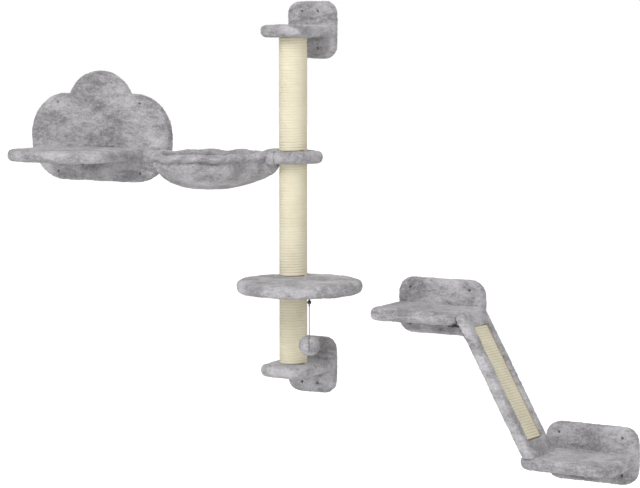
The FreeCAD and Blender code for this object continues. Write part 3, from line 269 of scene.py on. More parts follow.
# -----------------------------------------------------------------------------------------------------------
# Shader sockets as numbers
# -----------------------------------------------------------------------------------------------------------
class Graph:
    """A node tree under construction, with one method for any node."""

    def __init__(self, tree: bpy.types.NodeTree) -> None:
        """Keep the tree."""
        self.tree = tree

    def node(self, kind: str, settings: Optional[dict] = None, output: Union[int, str] = 0,
             **sockets: object) -> "Sock":
        """Add a node.

        Args:
            kind: The node's type, such as "ShaderNodeTexNoise".
            settings: Properties that are set first.
            output: Which output the result reads.
            **sockets: Values or links of its sockets, by name with _ for a space, or by number as _0.

        Returns:
            The wanted output, wrapped.
        """
        made = self.tree.nodes.new(kind)
        for key, value in (settings or {}).items():
            setattr(made, key, value)
        for key, value in sockets.items():
            which = int(key[1:]) if key[1:].isdigit() else key.replace("_", " ")
            self.feed(made.inputs[which], value)
        return Sock(self, made.outputs[output])

    def feed(self, socket: bpy.types.NodeSocket, value: object) -> None:
        """Give a socket a value or a link.

        Args:
            socket: The input that is fed.
            value: A wrapped output to link, or a plain value; a colour may leave its alpha out.
        """
        if isinstance(value, Sock):
            self.tree.links.new(value.socket, socket)
        elif isinstance(value, (tuple, list)) and socket.type == "RGBA" and len(value) == 3:
            socket.default_value = (*value, 1.0)
        else:
            socket.default_value = value

    def seen(self) -> "Sock":
        """Socket that is 1 where the camera looks, straight, in a reflection or through glass.

        Returns:
            The largest of the three kinds of ray.
        """
        path = self.node("ShaderNodeLightPath", None, "Is Camera Ray")
        rays = path
        for name in ("Is Glossy Ray", "Is Transmission Ray"):
            rays = rays.larger(path.other(name))
        return rays


@dataclass
class Finish(Graph):
    """Base of every finish: a material under construction.

    Attributes:
        name: The material's name.
        slot: The record's material slot.
    """

    name: str
    slot: str

    def __post_init__(self) -> None:
        """Make the material with a bare Principled shader."""
        self.material = bpy.data.materials.new(self.name)
        self.material.use_nodes = True
        super().__init__(self.material.node_tree)
        self.shader = self.tree.nodes["Principled BSDF"]
        self.dress()

    def dress(self) -> None:
        """Set the shader's sockets; each finish has its own."""

    def set(self, name: str, value: object) -> None:
        """Set or link one of the shader's sockets.

        Args:
            name: The socket's name.
            value: A plain value or a wrapped output.
        """
        self.feed(self.shader.inputs[name], value)

    def place(self) -> "Sock":
        """Object coordinates, in metres."""
        return self.node("ShaderNodeTexCoord", output="Object")

    def noise(self, where: "Sock", scale: float, detail: float = 2.0, rough: float = 0.5,
              warp: float = 0.0) -> "Sock":
        """Noise.

        Args:
            where: The coordinates that it is read at.
            scale: Waves per unit of them, a metre for object coordinates.
            detail: How many finer layers it has.
            rough: How strong those are.
            warp: How far it is bent out of its grid.

        Returns:
            Its value, about 0 to 1.
        """
        return self.node("ShaderNodeTexNoise", None, "Fac", Vector=where, Scale=scale, Detail=detail,
                         Roughness=rough, Distortion=warp)

    def blend(self, share: "Sock", first: object, second: object) -> "Sock":
        """Colour between two.

        Args:
            share: 0 for the first, 1 for the second.
            first: A colour or a wrapped output.
            second: A colour or a wrapped output.

        Returns:
            The colour.
        """
        return self.node("ShaderNodeMix", {"data_type": "RGBA"}, 2, _0=share, _6=first, _7=second)

    def span(self, value: "Sock", low: float, high: float) -> "Sock":
        """Part of a value's range, softened.

        Args:
            value: The value.
            low: Where the result is 0, and below it too.
            high: Where the result is 1, and above it too.

        Returns:
            The result, with a soft start and end.
        """
        return self.node("ShaderNodeMapRange", {"interpolation_type": "SMOOTHSTEP"}, 0, Value=value,
                         From_Min=low, From_Max=high, To_Min=0.0, To_Max=1.0)

    def bump(self, height: "Sock", depth: float, strength: float = 1.0) -> None:
        """Feed the shader's normal from a height.

        Args:
            height: The height, from 0 to 1.
            depth: What a height of 1 is worth, in metres.
            strength: Share of the effect.
        """
        self.set("Normal", self.node("ShaderNodeBump", None, "Normal", Height=height, Distance=depth,
                                     Strength=strength))


class Sock:
    """A node's output that takes part in Python arithmetic."""

    def __init__(self, graph: Graph, socket: bpy.types.NodeSocket) -> None:
        """Keep the output and the graph that it belongs to."""
        self.graph = graph
        self.socket = socket

    def other(self, name: str) -> "Sock":
        """Another output of the same node."""
        return Sock(self.graph, self.socket.node.outputs[name])

    def _math(self, operation: str, *operands: object) -> "Sock":
        """Math node of the operands."""
        return self.graph.node("ShaderNodeMath", {"operation": operation}, 0,
                               **{f"_{k}": value for k, value in enumerate(operands)})

    def __add__(self, other: object) -> "Sock":
        """Sum."""
        return self._math("ADD", self, other)

    def __radd__(self, other: object) -> "Sock":
        """Sum, from the right."""
        return self._math("ADD", other, self)

    def __sub__(self, other: object) -> "Sock":
        """Difference."""
        return self._math("SUBTRACT", self, other)

    def __rsub__(self, other: object) -> "Sock":
        """Difference, from the right."""
        return self._math("SUBTRACT", other, self)

    def __mul__(self, other: object) -> "Sock":
        """Product."""
        return self._math("MULTIPLY", self, other)

    def __rmul__(self, other: object) -> "Sock":
        """Product, from the right."""
        return self._math("MULTIPLY", other, self)

    def larger(self, other: object) -> "Sock":
        """The larger of two."""
        return self._math("MAXIMUM", self, other)

    def sine(self) -> "Sock":
        """Sine of the value in radians."""
        return self._math("SINE", self)


# -----------------------------------------------------------------------------------------------------------
# Finishes
# -----------------------------------------------------------------------------------------------------------
@dataclass
class Plush(Finish):
    """Short dense plush, brushed this way and that so that it lies in lighter and darker patches.

    Attributes:
        light: Colour of the pile that lies towards the light.
        dark: Colour of the pile that lies away from it.
        tuft: Size of a tuft, in metres.
        lie: How much the strokes are drawn out along each axis, the smaller the longer.
    """

    light: Colour = (0.545, 0.533, 0.552)
    dark: Colour = (0.175, 0.168, 0.178)
    tuft: float = 4.5 * MM
    lie: tuple[float, float, float] = (0.45, 0.55, 1.0)

    def dress(self) -> None:
        """Mottled pile with tufts and fine hairs, with painted shade in the gaps between the tufts and where
        the pile parts.
        """
        where = self.place()
        lying = self.node("ShaderNodeMapping", {"vector_type": "POINT"}, 0, Vector=where, Scale=self.lie)
        patches = self.noise(where, scale=9.0, detail=2.0, rough=0.5, warp=0.3)
        brushed = self.noise(lying, scale=40.0, detail=3.0, rough=0.6, warp=0.35)
        strokes = self.noise(lying, scale=170.0, detail=3.0, rough=0.65, warp=0.3)
        tufts = self.noise(where, scale=1.1 / self.tuft, detail=3.0, rough=0.65, warp=0.2)
        hairs = self.noise(where, scale=1100.0, detail=2.0, rough=0.6)
        # Painted shade: the tufts' share of the colour darkens the gaps between the tufts.
        shade = (self.span(patches, 0.34, 0.66) * 0.15 + self.span(brushed, 0.30, 0.70) * 0.22
                 + strokes * 0.50 + tufts * 0.55 + hairs * 0.30)
        # Painted shade: where the pile parts it is drawn a quarter of the way towards its dark colour.
        parting_shade = self.span(self.noise(lying, scale=26.0, detail=4.0, rough=0.7, warp=0.6), 0.30, 0.40)
        pile = self.blend(self.span(shade, 0.53, 1.17), self.dark, self.light)
        self.set("Base Color", self.blend(parting_shade * 0.25 + 0.75, self.dark, pile))
        self.set("Roughness", 1.0)
        self.set("Specular IOR Level", 0.1)
        self.set("Sheen Weight", 0.35)
        self.set("Sheen Roughness", 0.5)
        self.set("Sheen Tint", (0.97, 0.96, 0.96, 1.0))
        self.bump(tufts * 0.75 + hairs * 0.35, 2.6 * MM, 1.0)


@dataclass
class Sisal(Finish):
    """Twisted sisal rope: pale straw fibres that lie along its strands.

    The piece's UV map holds the length along the rope in metres and the share of the way round it.

    Attributes:
        lay: Length along the rope in which a strand goes once round, in metres.
    """

    lay: float = 24 * MM

    def dress(self) -> None:
        """Strands with painted shade in the grooves between them, fibres along them and paler and darker
        stretches.
        """
        uv = self.node("ShaderNodeUVMap", {"uv_map": "rope"}, 0)
        along = self.node("ShaderNodeSeparateXYZ", None, "X", Vector=uv)
        around = along.other("Y")
        twist = around * STRANDS - along * (STRANDS / self.lay)
        groove = self.span((twist * math.tau).sine(), -1.0, -0.25)
        fibre_place = self.node("ShaderNodeCombineXYZ", None, 0, X=along * 60.0 + around * 2.0,
                                Y=twist * 9.0, Z=0.0)
        fibres = self.noise(fibre_place, scale=4.0, detail=3.0, rough=0.7, warp=0.4)
        where = self.place()
        stretches = self.noise(where, scale=22.0, detail=2.0, rough=0.5, warp=0.4)
        tint = self.span(fibres * 0.7 + stretches * 0.5, 0.35, 0.85)
        straw = self.blend(tint, (0.64, 0.585, 0.43), (0.80, 0.755, 0.605))
        # Painted shade: the grooves between the strands take a darker straw colour.
        self.set("Base Color", self.blend(groove, (0.65, 0.59, 0.435), straw))
        self.set("Roughness", 0.85)
        self.set("Specular IOR Level", 0.25)
        self.set("Sheen Weight", 0.1)
        self.bump(fibres * 0.6 + groove * 0.4, 0.5 * MM, 0.7)


@dataclass
class Board(Finish):
    """Raw pressed fibreboard."""

    def dress(self) -> None:
        """Fine fibres and a few darker flecks."""
        where = self.place()
        fibres = self.noise(where, scale=320.0, detail=4.0, rough=0.7, warp=0.8)
        clouds = self.noise(where, scale=18.0, detail=2.0)
        tint = self.span(fibres * 0.7 + clouds * 0.4, 0.3, 0.8)
        self.set("Base Color", self.blend(tint, (0.42, 0.30, 0.19), (0.62, 0.49, 0.34)))
        self.set("Roughness", 0.8 + (fibres - 0.5) * 0.15)
        self.bump(fibres, 0.3 * MM, 0.5)


@dataclass
class Steel(Finish):
    """Zinc plated steel with faint turning marks.

    Attributes:
        tone: Its colour.
    """

    tone: Colour = (0.62, 0.63, 0.65)

    def dress(self) -> None:
        """Cloudy plating and fine scratches."""
        where = self.place()
        marks = self.noise(where, scale=900.0, detail=2.0, rough=0.6, warp=3.0)
        clouds = self.noise(where, scale=60.0, detail=2.0)
        darker = tuple(0.72 * c for c in self.tone)
        self.set("Base Color", self.blend(clouds, darker, self.tone))
        self.set("Metallic", 1.0)
        self.set("Roughness", 0.28 + marks * 0.22)
        self.bump(marks, 0.08 * MM, 0.4)


@dataclass
class Plastic(Finish):
    """Plain dark moulded plastic."""

    def dress(self) -> None:
        """Nearly black, with a fine moulded grain."""
        where = self.place()
        grain = self.noise(where, scale=1500.0, detail=1.0)
        self.set("Base Color", self.blend(grain, (0.012, 0.012, 0.013), (0.03, 0.03, 0.032)))
        self.set("Roughness", 0.55 + grain * 0.15)
        self.bump(grain, 0.05 * MM, 0.3)


@dataclass
class BlackSteel(Finish):
    """Black steel."""

    def dress(self) -> None:
        """Black, with a fine pebbled grain."""
        where = self.place()
        peel = self.noise(where, scale=700.0, detail=2.0)
        self.set("Base Color", self.blend(peel, (0.010, 0.010, 0.011), (0.022, 0.022, 0.024)))
        self.set("Roughness", 0.45 + peel * 0.2)
        self.bump(peel, 0.1 * MM, 0.5)


@dataclass
class Twine(Finish):
    """Thin twisted dark brown cord."""

    def dress(self) -> None:
        """Diagonal plies with loose fibres."""
        where = self.place()
        plies = self.node("ShaderNodeTexWave", {"bands_direction": "DIAGONAL"}, "Fac", Vector=where,
                          Scale=420.0, Distortion=0.6, Detail=2.0)
        fibres = self.noise(where, scale=2200.0, detail=2.0)
        tint = plies * 0.7 + fibres * 0.3
        self.set("Base Color", self.blend(tint, (0.014, 0.007, 0.005), (0.06, 0.032, 0.024)))
        self.set("Roughness", 0.8)
        self.bump(tint, 0.25 * MM, 0.7)


@dataclass
class Kraft(Finish):
    """Wound kraft cardboard of the column's tubes."""

    def dress(self) -> None:
        """Spiral plies and paper fibres."""
        where = self.place()
        plies = self.node("ShaderNodeTexWave", {"bands_direction": "DIAGONAL"}, "Fac", Vector=where,
                          Scale=9.0, Distortion=0.3)
        fibres = self.noise(where, scale=240.0, detail=3.0)
        tint = plies * 0.3 + fibres * 0.6
        self.set("Base Color", self.blend(tint, (0.33, 0.22, 0.13), (0.50, 0.36, 0.23)))
        self.set("Roughness", 0.85)
        self.bump(fibres, 0.2 * MM, 0.5)


# -----------------------------------------------------------------------------------------------------------
# Plush covers
# -----------------------------------------------------------------------------------------------------------
@dataclass(frozen=True)
class Pile:
    """How a plush surface is meshed and roughened.

    Attributes:
        voxel: Mesh size.
        swell: Depth of the padding's broad unevenness.
        clumps: Depth of the pile's clumps.
        proud: How far the pile stands out of the padded shape.
    """

    voxel: float = 2.0 * MM
    swell: float = 4.5 * MM
    clumps: float = 4.8 * MM
    proud: float = 1.8 * MM


def ruffle(piece: bpy.types.Object, label: str, pile: Pile) -> None:
    """Turn a plain closed shape into a padded one with a clumpy pile.

    Args:
        piece: The shape.
        label: Name of its textures.
        pile: The mesh size and depths.
    """
    finish_modifier(piece, "REMESH", mode="VOXEL", voxel_size=pile.voxel, use_smooth_shade=True)
    finish_modifier(piece, "SMOOTH", factor=0.6, iterations=3)
    finish_modifier(piece, "DISPLACE", texture=texture(f"{label}_swell", 0.05, 1), texture_coords="LOCAL",
                    direction="NORMAL", mid_level=0.5, strength=pile.swell)
    finish_modifier(piece, "DISPLACE", texture=texture(f"{label}_clumps", 0.008, 3), texture_coords="LOCAL",
                    direction="NORMAL", mid_level=0.5 - pile.proud / pile.clumps, strength=pile.clumps)
    smooth(piece)


@dataclass
class Cover:
    """A board's plush cover: a soft slab that is remeshed and roughened.

    Attributes:
        node: The construction model's node that it stands for.
        finish: Its plush.
        body: The body that it rides on.
        pile: Its mesh and roughness.
    """

    node: str
    finish: Finish
    body: str = "root"
    pile: Pile = field(default_factory=Pile)

    def box(self) -> Box:
        """The node's corners."""
        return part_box(self.node)

    def blank(self) -> bpy.types.Object:
        """The soft slab before it is roughened; each kind of cover has its own."""
        raise NotImplementedError

    def openings(self, piece: bpy.types.Object) -> None:
        """Cut what is cut after the roughening; most covers have nothing."""

    def roughen(self, piece: bpy.types.Object) -> None:
        """Remesh a blank and give it the padding's unevenness and the pile's clumps."""
        ruffle(piece, self.node, self.pile)

    def build(self) -> bpy.types.Object:
        """Model the cover and put it in its node's place.

        Returns:
            The finished piece.
        """
        piece = self.blank()
        self.roughen(piece)
        self.openings(piece)
        smooth(piece)
        piece.data.materials.clear()
        piece.data.materials.append(self.finish.material)
        piece.name = piece.data.name = f"{self.node}_plush"
        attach(piece, self.body)
        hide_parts(self.node)
        LOG.info("%s: %d faces", piece.name, len(piece.data.polygons))
        return piece


@dataclass
class PlateCover(Cover):
    """Cover of a plate on the wall, open at its back where the plush is only turned over the edge.

    Attributes:
        corner: Radius of its outline's corners.
        soft: Rounding of its front edge.
        fold: Width of the strip that is turned onto the back.
        back_gap: Depth of the bare place inside that strip.
        holes: Spacing of the wall screw holes along X and Z.
        hole_radius: Radius of the plush's opening at a hole, where it is pressed back round the screw.
    """

    corner: float = 34 * MM
    soft: float = 12 * MM
    fold: float = 30 * MM
    back_gap: float = 3.0 * MM
    holes: tuple[float, float] = (50 * MM, 102 * MM)
    hole_radius: float = 4.4 * MM

    def outline(self, name: str, low: Vector, high: Vector, corner: float) -> bpy.types.Object:
        """Slab with the plate's rounded outline.

        Args:
            name: The slab's name.
            low: Lowest corner.
            high: Highest corner.
            corner: Radius of its corners.

        Returns:
            The slab.
        """
        piece = add_block(name, low, high)
        bevel_edges(piece, corner, 14, lambda edge: edge_along(edge, Axis.Y))
        return piece

    def blank(self) -> bpy.types.Object:
        """Rounded slab with a soft front edge."""
        low, high = self.box()
        piece = self.outline(self.node, low, high, self.corner)
        front = low.y
        bevel_edges(piece, self.soft, 6, lambda edge: all(near(v.co.y, front) for v in edge.verts))
        return piece

    def openings(self, piece: bpy.types.Object) -> None:
        """Flatten the back against the wall, bare the board and pierce the wall holes."""
        low, high = self.box()
        for vertex in piece.data.vertices:
            if vertex.co.y > high.y:
                vertex.co.y = high.y
        inset = Vector((self.fold, 0, self.fold))
        bare_low, bare_high = low + inset, high - inset
        bare_low.y, bare_high.y = high.y - self.back_gap, high.y + 20 * MM
        combine(piece, self.outline("bare", bare_low, bare_high, max(self.corner - self.fold, 2 * MM)),
                "DIFFERENCE")
        self.pierce(piece, (low + high) / 2)

    def pierce(self, piece: bpy.types.Object, middle: Vector) -> None:
        """Pierce the four wall screw holes about a middle.

        Args:
            piece: The cover.
            middle: The middle of the four holes.
        """
        wide, high = self.holes
        through, sides = 80 * MM, 20
        for side in (-1, 1):
            for level in (-1, 1):
                spot = Vector((middle.x + side * wide / 2, middle.y, middle.z + level * high / 2))
                hole = add_disc("hole", spot, self.hole_radius, through, Axis.Y, sides)
                combine(piece, hole, "DIFFERENCE")


@dataclass
class CrestCover(PlateCover):
    """Cover of the bed's back panel, a rounded plate with a round crest.

    Attributes:
        panel_high: Height of the plate without its crest.
        crest_radius: Radius of the crest.
        crest_up: Height of the crest's middle above the lower edge.
    """

    corner: float = 126 * MM
    holes: tuple[float, float] = (300 * MM, 207 * MM)
    panel_high: float = 257 * MM
    crest_radius: float = 115 * MM
    crest_up: float = 210 * MM

    def outline(self, name: str, low: Vector, high: Vector, corner: float) -> bpy.types.Object:
        """Rounded slab joined to a disc.

        Args:
            name: The slab's name.
            low: Lowest corner of its box, crest and all.
            high: Highest corner.
            corner: Radius of the panel's corners, which also says how far the outline is drawn in.

        Returns:
            The slab.
        """
        grow = corner - self.corner
        panel_top = Vector((high.x, high.y, low.z + self.panel_high + 2 * grow))
        piece = super().outline(name, low, panel_top, corner)
        centre = Vector(((low.x + high.x) / 2, (low.y + high.y) / 2, low.z + grow + self.crest_up))
        combine(piece, add_disc("crest", centre, self.crest_radius + grow, high.y - low.y, Axis.Y), "UNION")
        return piece

    def pierce(self, piece: bpy.types.Object, middle: Vector) -> None:
        """Pierce the holes about the middle of the panel below the crest."""
        low, _ = self.box()
        super().pierce(piece, Vector((middle.x, middle.y, low.z + self.panel_high / 2)))


@dataclass
class ShelfCover(Cover):
    """Cover of a shelf with a straight back and round front corners.

    Attributes:
        corner: Radius of the front left corner, and of the right one unless that has its own.
        right_corner: Radius of the front right corner, or None for the same.
        soft: Rounding of the upper and lower edges.
    """

    corner: float = 36 * MM
    right_corner: Optional[float] = None
    soft: float = 12 * MM

    def blank(self) -> bpy.types.Object:
        """Slab with round front corners and soft edges all round."""
        low, high = self.box()
        piece = add_block(self.node, low, high)
        for x, corner in ((low.x, self.corner), (high.x, self.right_corner or self.corner)):
            bevel_edges(piece, corner, 14, lambda edge: edge_along(edge, Axis.Z)
                        and near(edge.verts[0].co.y, low.y) and near(edge.verts[0].co.x, x))
        bevel_edges(piece, self.soft, 6,
                    lambda edge: edge_level(edge) and not all(near(v.co.y, high.y) for v in edge.verts))
        return piece


@dataclass
class DiscCover(Cover):
    """Cover of a round shelf.

    Attributes:
        soft: Rounding of its edges.
    """

    soft: float = 13 * MM

    def blank(self) -> bpy.types.Object:
        """Disc with soft edges."""
        low, high = self.box()
        piece = add_disc(self.node, (low + high) / 2, (high.x - low.x) / 2, high.z - low.z)
        bevel_edges(piece, self.soft, 7, edge_level)
        return piece


# -----------------------------------------------------------------------------------------------------------
# Wound sisal
# -----------------------------------------------------------------------------------------------------------
@dataclass(frozen=True)
class Twist:
    """A rope's section and lay.

    Attributes:
        out: Half its thickness away from what it is wound on.
        along: Half its width where its turns press on each other.
        sides: How many sides its section has.
        lay: Length in which a strand goes once round.
        strand: How far the strands stand out, as a share of the radius.
        square: Below 1 the section is squarer than an ellipse.
    """

    out: float = 3.5 * MM
    along: float = 4.2 * MM
    sides: int = 14
    lay: float = 26 * MM
    strand: float = 0.10
    square: float = 0.55


def wound_rope(name: str, path: np.ndarray, outward: np.ndarray, twist: Twist) -> bpy.types.Object:
    """Three-strand rope along a path, pressed flat against its neighbouring turns.

    Args:
        name: The piece's name.
        path: Points along the rope's middle, evenly close.
        outward: At each point, the direction away from what it is wound on.
        twist: Its section and lay.

    Returns:
        The rope, with a UV map of length and turn.
    """
    gone = np.concatenate([[0.0], np.cumsum(np.linalg.norm(np.diff(path, axis=0), axis=1))])
    tangent = np.gradient(path, axis=0)
    tangent /= np.linalg.norm(tangent, axis=1)[:, None]
    out = outward - tangent * np.sum(outward * tangent, axis=1)[:, None]
    out /= np.linalg.norm(out, axis=1)[:, None]
    side = np.cross(tangent, out)
    rings, sides = len(path), twist.sides
    share = np.arange(sides) / sides
    angle = share * math.tau
    across = np.sign(np.cos(angle)) * np.abs(np.cos(angle)) ** twist.square * twist.out
    beside = np.sign(np.sin(angle)) * np.abs(np.sin(angle)) ** twist.square * twist.along
    turn = STRANDS / 2 * (angle[None, :] - gone[:, None] * math.tau / twist.lay)
    reach = 1.0 + twist.strand * (np.abs(np.cos(turn)) - 0.8)
    points = (path[:, None, :] + (reach * across[None, :])[:, :, None] * out[:, None, :]
              + (reach * beside[None, :])[:, :, None] * side[:, None, :])
    first = np.arange(rings - 1)[:, None] * sides + np.arange(sides)[None, :]
    second = np.arange(rings - 1)[:, None] * sides + (np.arange(sides)[None, :] + 1) % sides
    quads = np.stack([first, second, second + sides, first + sides], axis=2).reshape(-1, 4)
    caps = [tuple(range(sides))[::-1], tuple((rings - 1) * sides + k for k in range(sides))]
    piece = mesh_piece(name, points.reshape(-1, 3), [*map(tuple, quads.tolist()), *caps])
    u, u_next = np.repeat(gone[:-1], sides), np.repeat(gone[1:], sides)
    v = np.tile(share, rings - 1)
    v_next = v + 1.0 / sides
    corner_uv = np.stack([u, v, u, v_next, u_next, v_next, u_next, v], axis=1).reshape(-1)
    flat = np.zeros(len(piece.data.loops) * 2)
    flat[:len(corner_uv)] = corner_uv
    piece.data.uv_layers.new(name="rope").data.foreach_set("uv", flat)
    face_outwards(piece)
    smooth(piece)
    return piece


@dataclass
class ColumnRope:
    """Sisal rope wound round one length of the column.

    Attributes:
        node: The node that it stands for.
        finish: Its sisal.
        pitch: Height of a turn.
        twist: The rope's section.
        step: Length of a mesh step.
        sink: How far the winding runs into the plush above and below.
    """

    node: str
    finish: Sisal
    pitch: float = 7.6 * MM
    twist: Twist = field(default_factory=Twist)
    step: float = 2.2 * MM
    sink: float = 3.0 * MM

    def build(self) -> bpy.types.Object:
        """Wind the rope from the lower shelf to the upper one.

        Returns:
            The finished piece.
        """
        low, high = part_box(self.node)
        centre = (low + high) / 2
        middle = (high.x - low.x) / 2 - self.twist.out
        bottom, top = low.z - self.sink + self.twist.along, high.z + self.sink - self.twist.along
        turns = (top - bottom) / self.pitch
        count = int(turns * math.tau * middle / self.step)
        angle = np.linspace(0, turns * math.tau, count)
        outward = np.stack([np.cos(angle), np.sin(angle), np.zeros(count)], axis=1)
        waver = middle + 0.12 * MM * np.sin(angle * 0.37 + 1.0) + 0.1 * MM * np.sin(angle * 1.71)
        rise = np.linspace(bottom, top, count) + 0.12 * MM * np.sin(angle * 0.61)
        path = outward * waver[:, None] + np.array([centre.x, centre.y, 0.0])
        path[:, 2] = rise
        piece = wound_rope(f"{self.node}_sisal", path, outward, self.twist)
        piece.data.materials.append(self.finish.material)
        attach(piece, "root")
        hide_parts(self.node)
        LOG.info("%s: %.0f turns, %d faces", piece.name, turns, len(piece.data.polygons))
        return piece


# -----------------------------------------------------------------------------------------------------------
# Ramp
# -----------------------------------------------------------------------------------------------------------
@dataclass
class RampFrame:
    """The ramp's own frame, found from where its cover's node lies.

    Attributes:
        wide: Width along Y.
        thick: Thickness with its plush.
        board: Thickness of the inlay's board.
        core: Thickness of the ramp's own board.
        plush: Thickness of the plush on it.
        halvings: How often the slope's bounds are halved in the search for it.
        low: Lowest corner of the cover's box.
        high: Highest corner of it.
        slope: The ramp's angle below level, in radians.
        down: Direction down the ramp.
        out: Direction away from its upper face.
        inlay_middle: Middle of the inlay's board.
        head: From the inlay's middle to the ramp's upper end, along it.
    """

    wide: float = 140 * MM
    thick: float = 25 * MM
    board: float = 5 * MM
    core: float = 15 * MM
    plush: float = 5 * MM
    halvings: int = 50

    def __post_init__(self) -> None:
        """Work out the slope from the cover's box: its long corners lie at the box's corners."""
        self.low, self.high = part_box("ramp_cover")
        board_low, board_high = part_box("ramp_inlay_board")
        run, fall = board_high.x - board_low.x, board_high.z - board_low.z
        # a tilted slab spans run = L cos + t sin and fall = L sin + t cos, so this falls through nought once
        gentle, steep = 0.0, math.pi / 2
        for _ in range(self.halvings):
            angle = (gentle + steep) / 2
            over = fall * math.cos(angle) - run * math.sin(angle) - self.board * math.cos(2 * angle)
            gentle, steep = (angle, steep) if over > 0 else (gentle, angle)
        self.slope = angle
        self.down = Vector((math.cos(angle), 0, -math.sin(angle)))
        self.out = Vector((math.sin(angle), 0, math.cos(angle)))
        self.inlay_middle = (board_low + board_high) / 2
        core_low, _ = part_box("ramp_board")
        self.head = ((core_low.x - self.inlay_middle.x + math.sin(angle) * self.core / 2) / math.cos(angle)
                     - self.plush)


@dataclass
class RampCover(Cover):
    """The ramp's plush cover with the window for its inlay.

    Attributes:
        frame: The ramp's own frame.
        corner: Rounding of its four corners.
        edge: Rounding of its edges.
        window: Length of the opening, and how far it reaches forward and back from the ramp's middle.
    """

    frame: Optional[RampFrame] = None
    corner: float = 10 * MM
    edge: float = 6 * MM
    window: tuple[float, float, float] = (334 * MM, 45 * MM, 48 * MM)

    def tilted(self, piece: bpy.types.Object) -> None:
        """Lay a slab that was made level into the ramp's place.

        Args:
            piece: The slab, with the inlay's middle at its origin.
        """
        ramp = self.frame
        place = Matrix((
            (ramp.down.x, 0, ramp.out.x, ramp.inlay_middle.x),
            (0, 1, 0, ramp.inlay_middle.y),
            (ramp.down.z, 0, ramp.out.z, ramp.inlay_middle.z),
            (0, 0, 0, 1),
        ))
        piece.data.transform(place)

    def blank(self) -> bpy.types.Object:
        """Long slab with soft edges, the window cut through and its foot cut level.

        Returns:
            The slab in the ramp's place.
        """
        ramp = self.frame
        low, high = ramp.low, ramp.high
        heel = (ramp.inlay_middle.z - low.z) / math.sin(ramp.slope) + ramp.thick / math.tan(ramp.slope)
        piece = add_block(self.node, Vector((ramp.head, -ramp.wide / 2, -ramp.thick / 2)),
                          Vector((heel, ramp.wide / 2, ramp.thick / 2)))
        bevel_edges(piece, self.corner, 5, lambda edge: edge_along(edge, Axis.Z))
        bevel_edges(piece, self.edge, 5, edge_level)
        long, front, back = self.window
        through = 50 * MM
        hole = add_block("window", Vector((-long / 2, -front, -through)), Vector((long / 2, back, through)))
        combine(piece, hole, "DIFFERENCE")
        self.tilted(piece)
        below, beyond = 300 * MM, Vector((300 * MM, 100 * MM, 0))
        foot_low = Vector((low.x, low.y, low.z - below))
        foot_high = Vector((high.x, high.y, low.z))
        foot = add_block("foot", foot_low - beyond, foot_high + beyond)
        combine(piece, foot, "DIFFERENCE")
        return piece


@dataclass
class RampRope:
    """Sisal rope wound flat round the ramp's inlay board.

    Attributes:
        frame: The ramp's own frame.
        finish: Its sisal.
        long: Wound length.
        wide: Width over the rope.
        pitch: Width of a turn.
        twist: The rope's section.
        core: Radius of the turn's round ends, at the rope's middle.
        step: Length of a mesh step.
    """

    frame: RampFrame
    finish: Sisal
    long: float = 334 * MM
    wide: float = 91 * MM
    pitch: float = 7.6 * MM
    twist: Twist = field(default_factory=lambda: Twist(along=3.95 * MM, sides=12))
    core: float = 6.6 * MM
    step: float = 2.4 * MM

    def build(self) -> bpy.types.Object:
        """Wind the rope along the inlay.

        Returns:
            The finished piece.
        """
        half = self.wide / 2 - self.twist.out - self.core
        lap = 4 * half + math.tau * self.core
        turns = (self.long - 2 * self.twist.along) / self.pitch
        count = int(turns * lap / self.step)
        gone = np.linspace(0, turns * lap, count)
        part = gone % lap
        first = part < lap / 2
        local = np.where(first, part, part - lap / 2)
        sign = np.where(first, 1.0, -1.0)
        flat = local < 2 * half
        bend = np.where(flat, 0.0, (local - 2 * half) / self.core)
        lean, lift = sign * np.sin(bend), sign * np.cos(bend)
        y = np.where(flat, sign * (local - half), sign * half + self.core * lean)
        x = -self.long / 2 + self.twist.along + gone / lap * self.pitch
        ramp = self.frame
        down, out, across = np.array(ramp.down), np.array(ramp.out), np.array((0.0, 1.0, 0.0))
        path = (np.array(ramp.inlay_middle) + x[:, None] * down + y[:, None] * across
                + (self.core * lift)[:, None] * out)
        outward = lean[:, None] * across + lift[:, None] * out
        piece = wound_rope("ramp_rope_sisal", path, outward, self.twist)
        piece.data.materials.append(self.finish.material)
        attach(piece, "root")
        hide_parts("ramp_rope")
        LOG.info("%s: %.0f turns, %d faces", piece.name, turns, len(piece.data.polygons))
        return piece


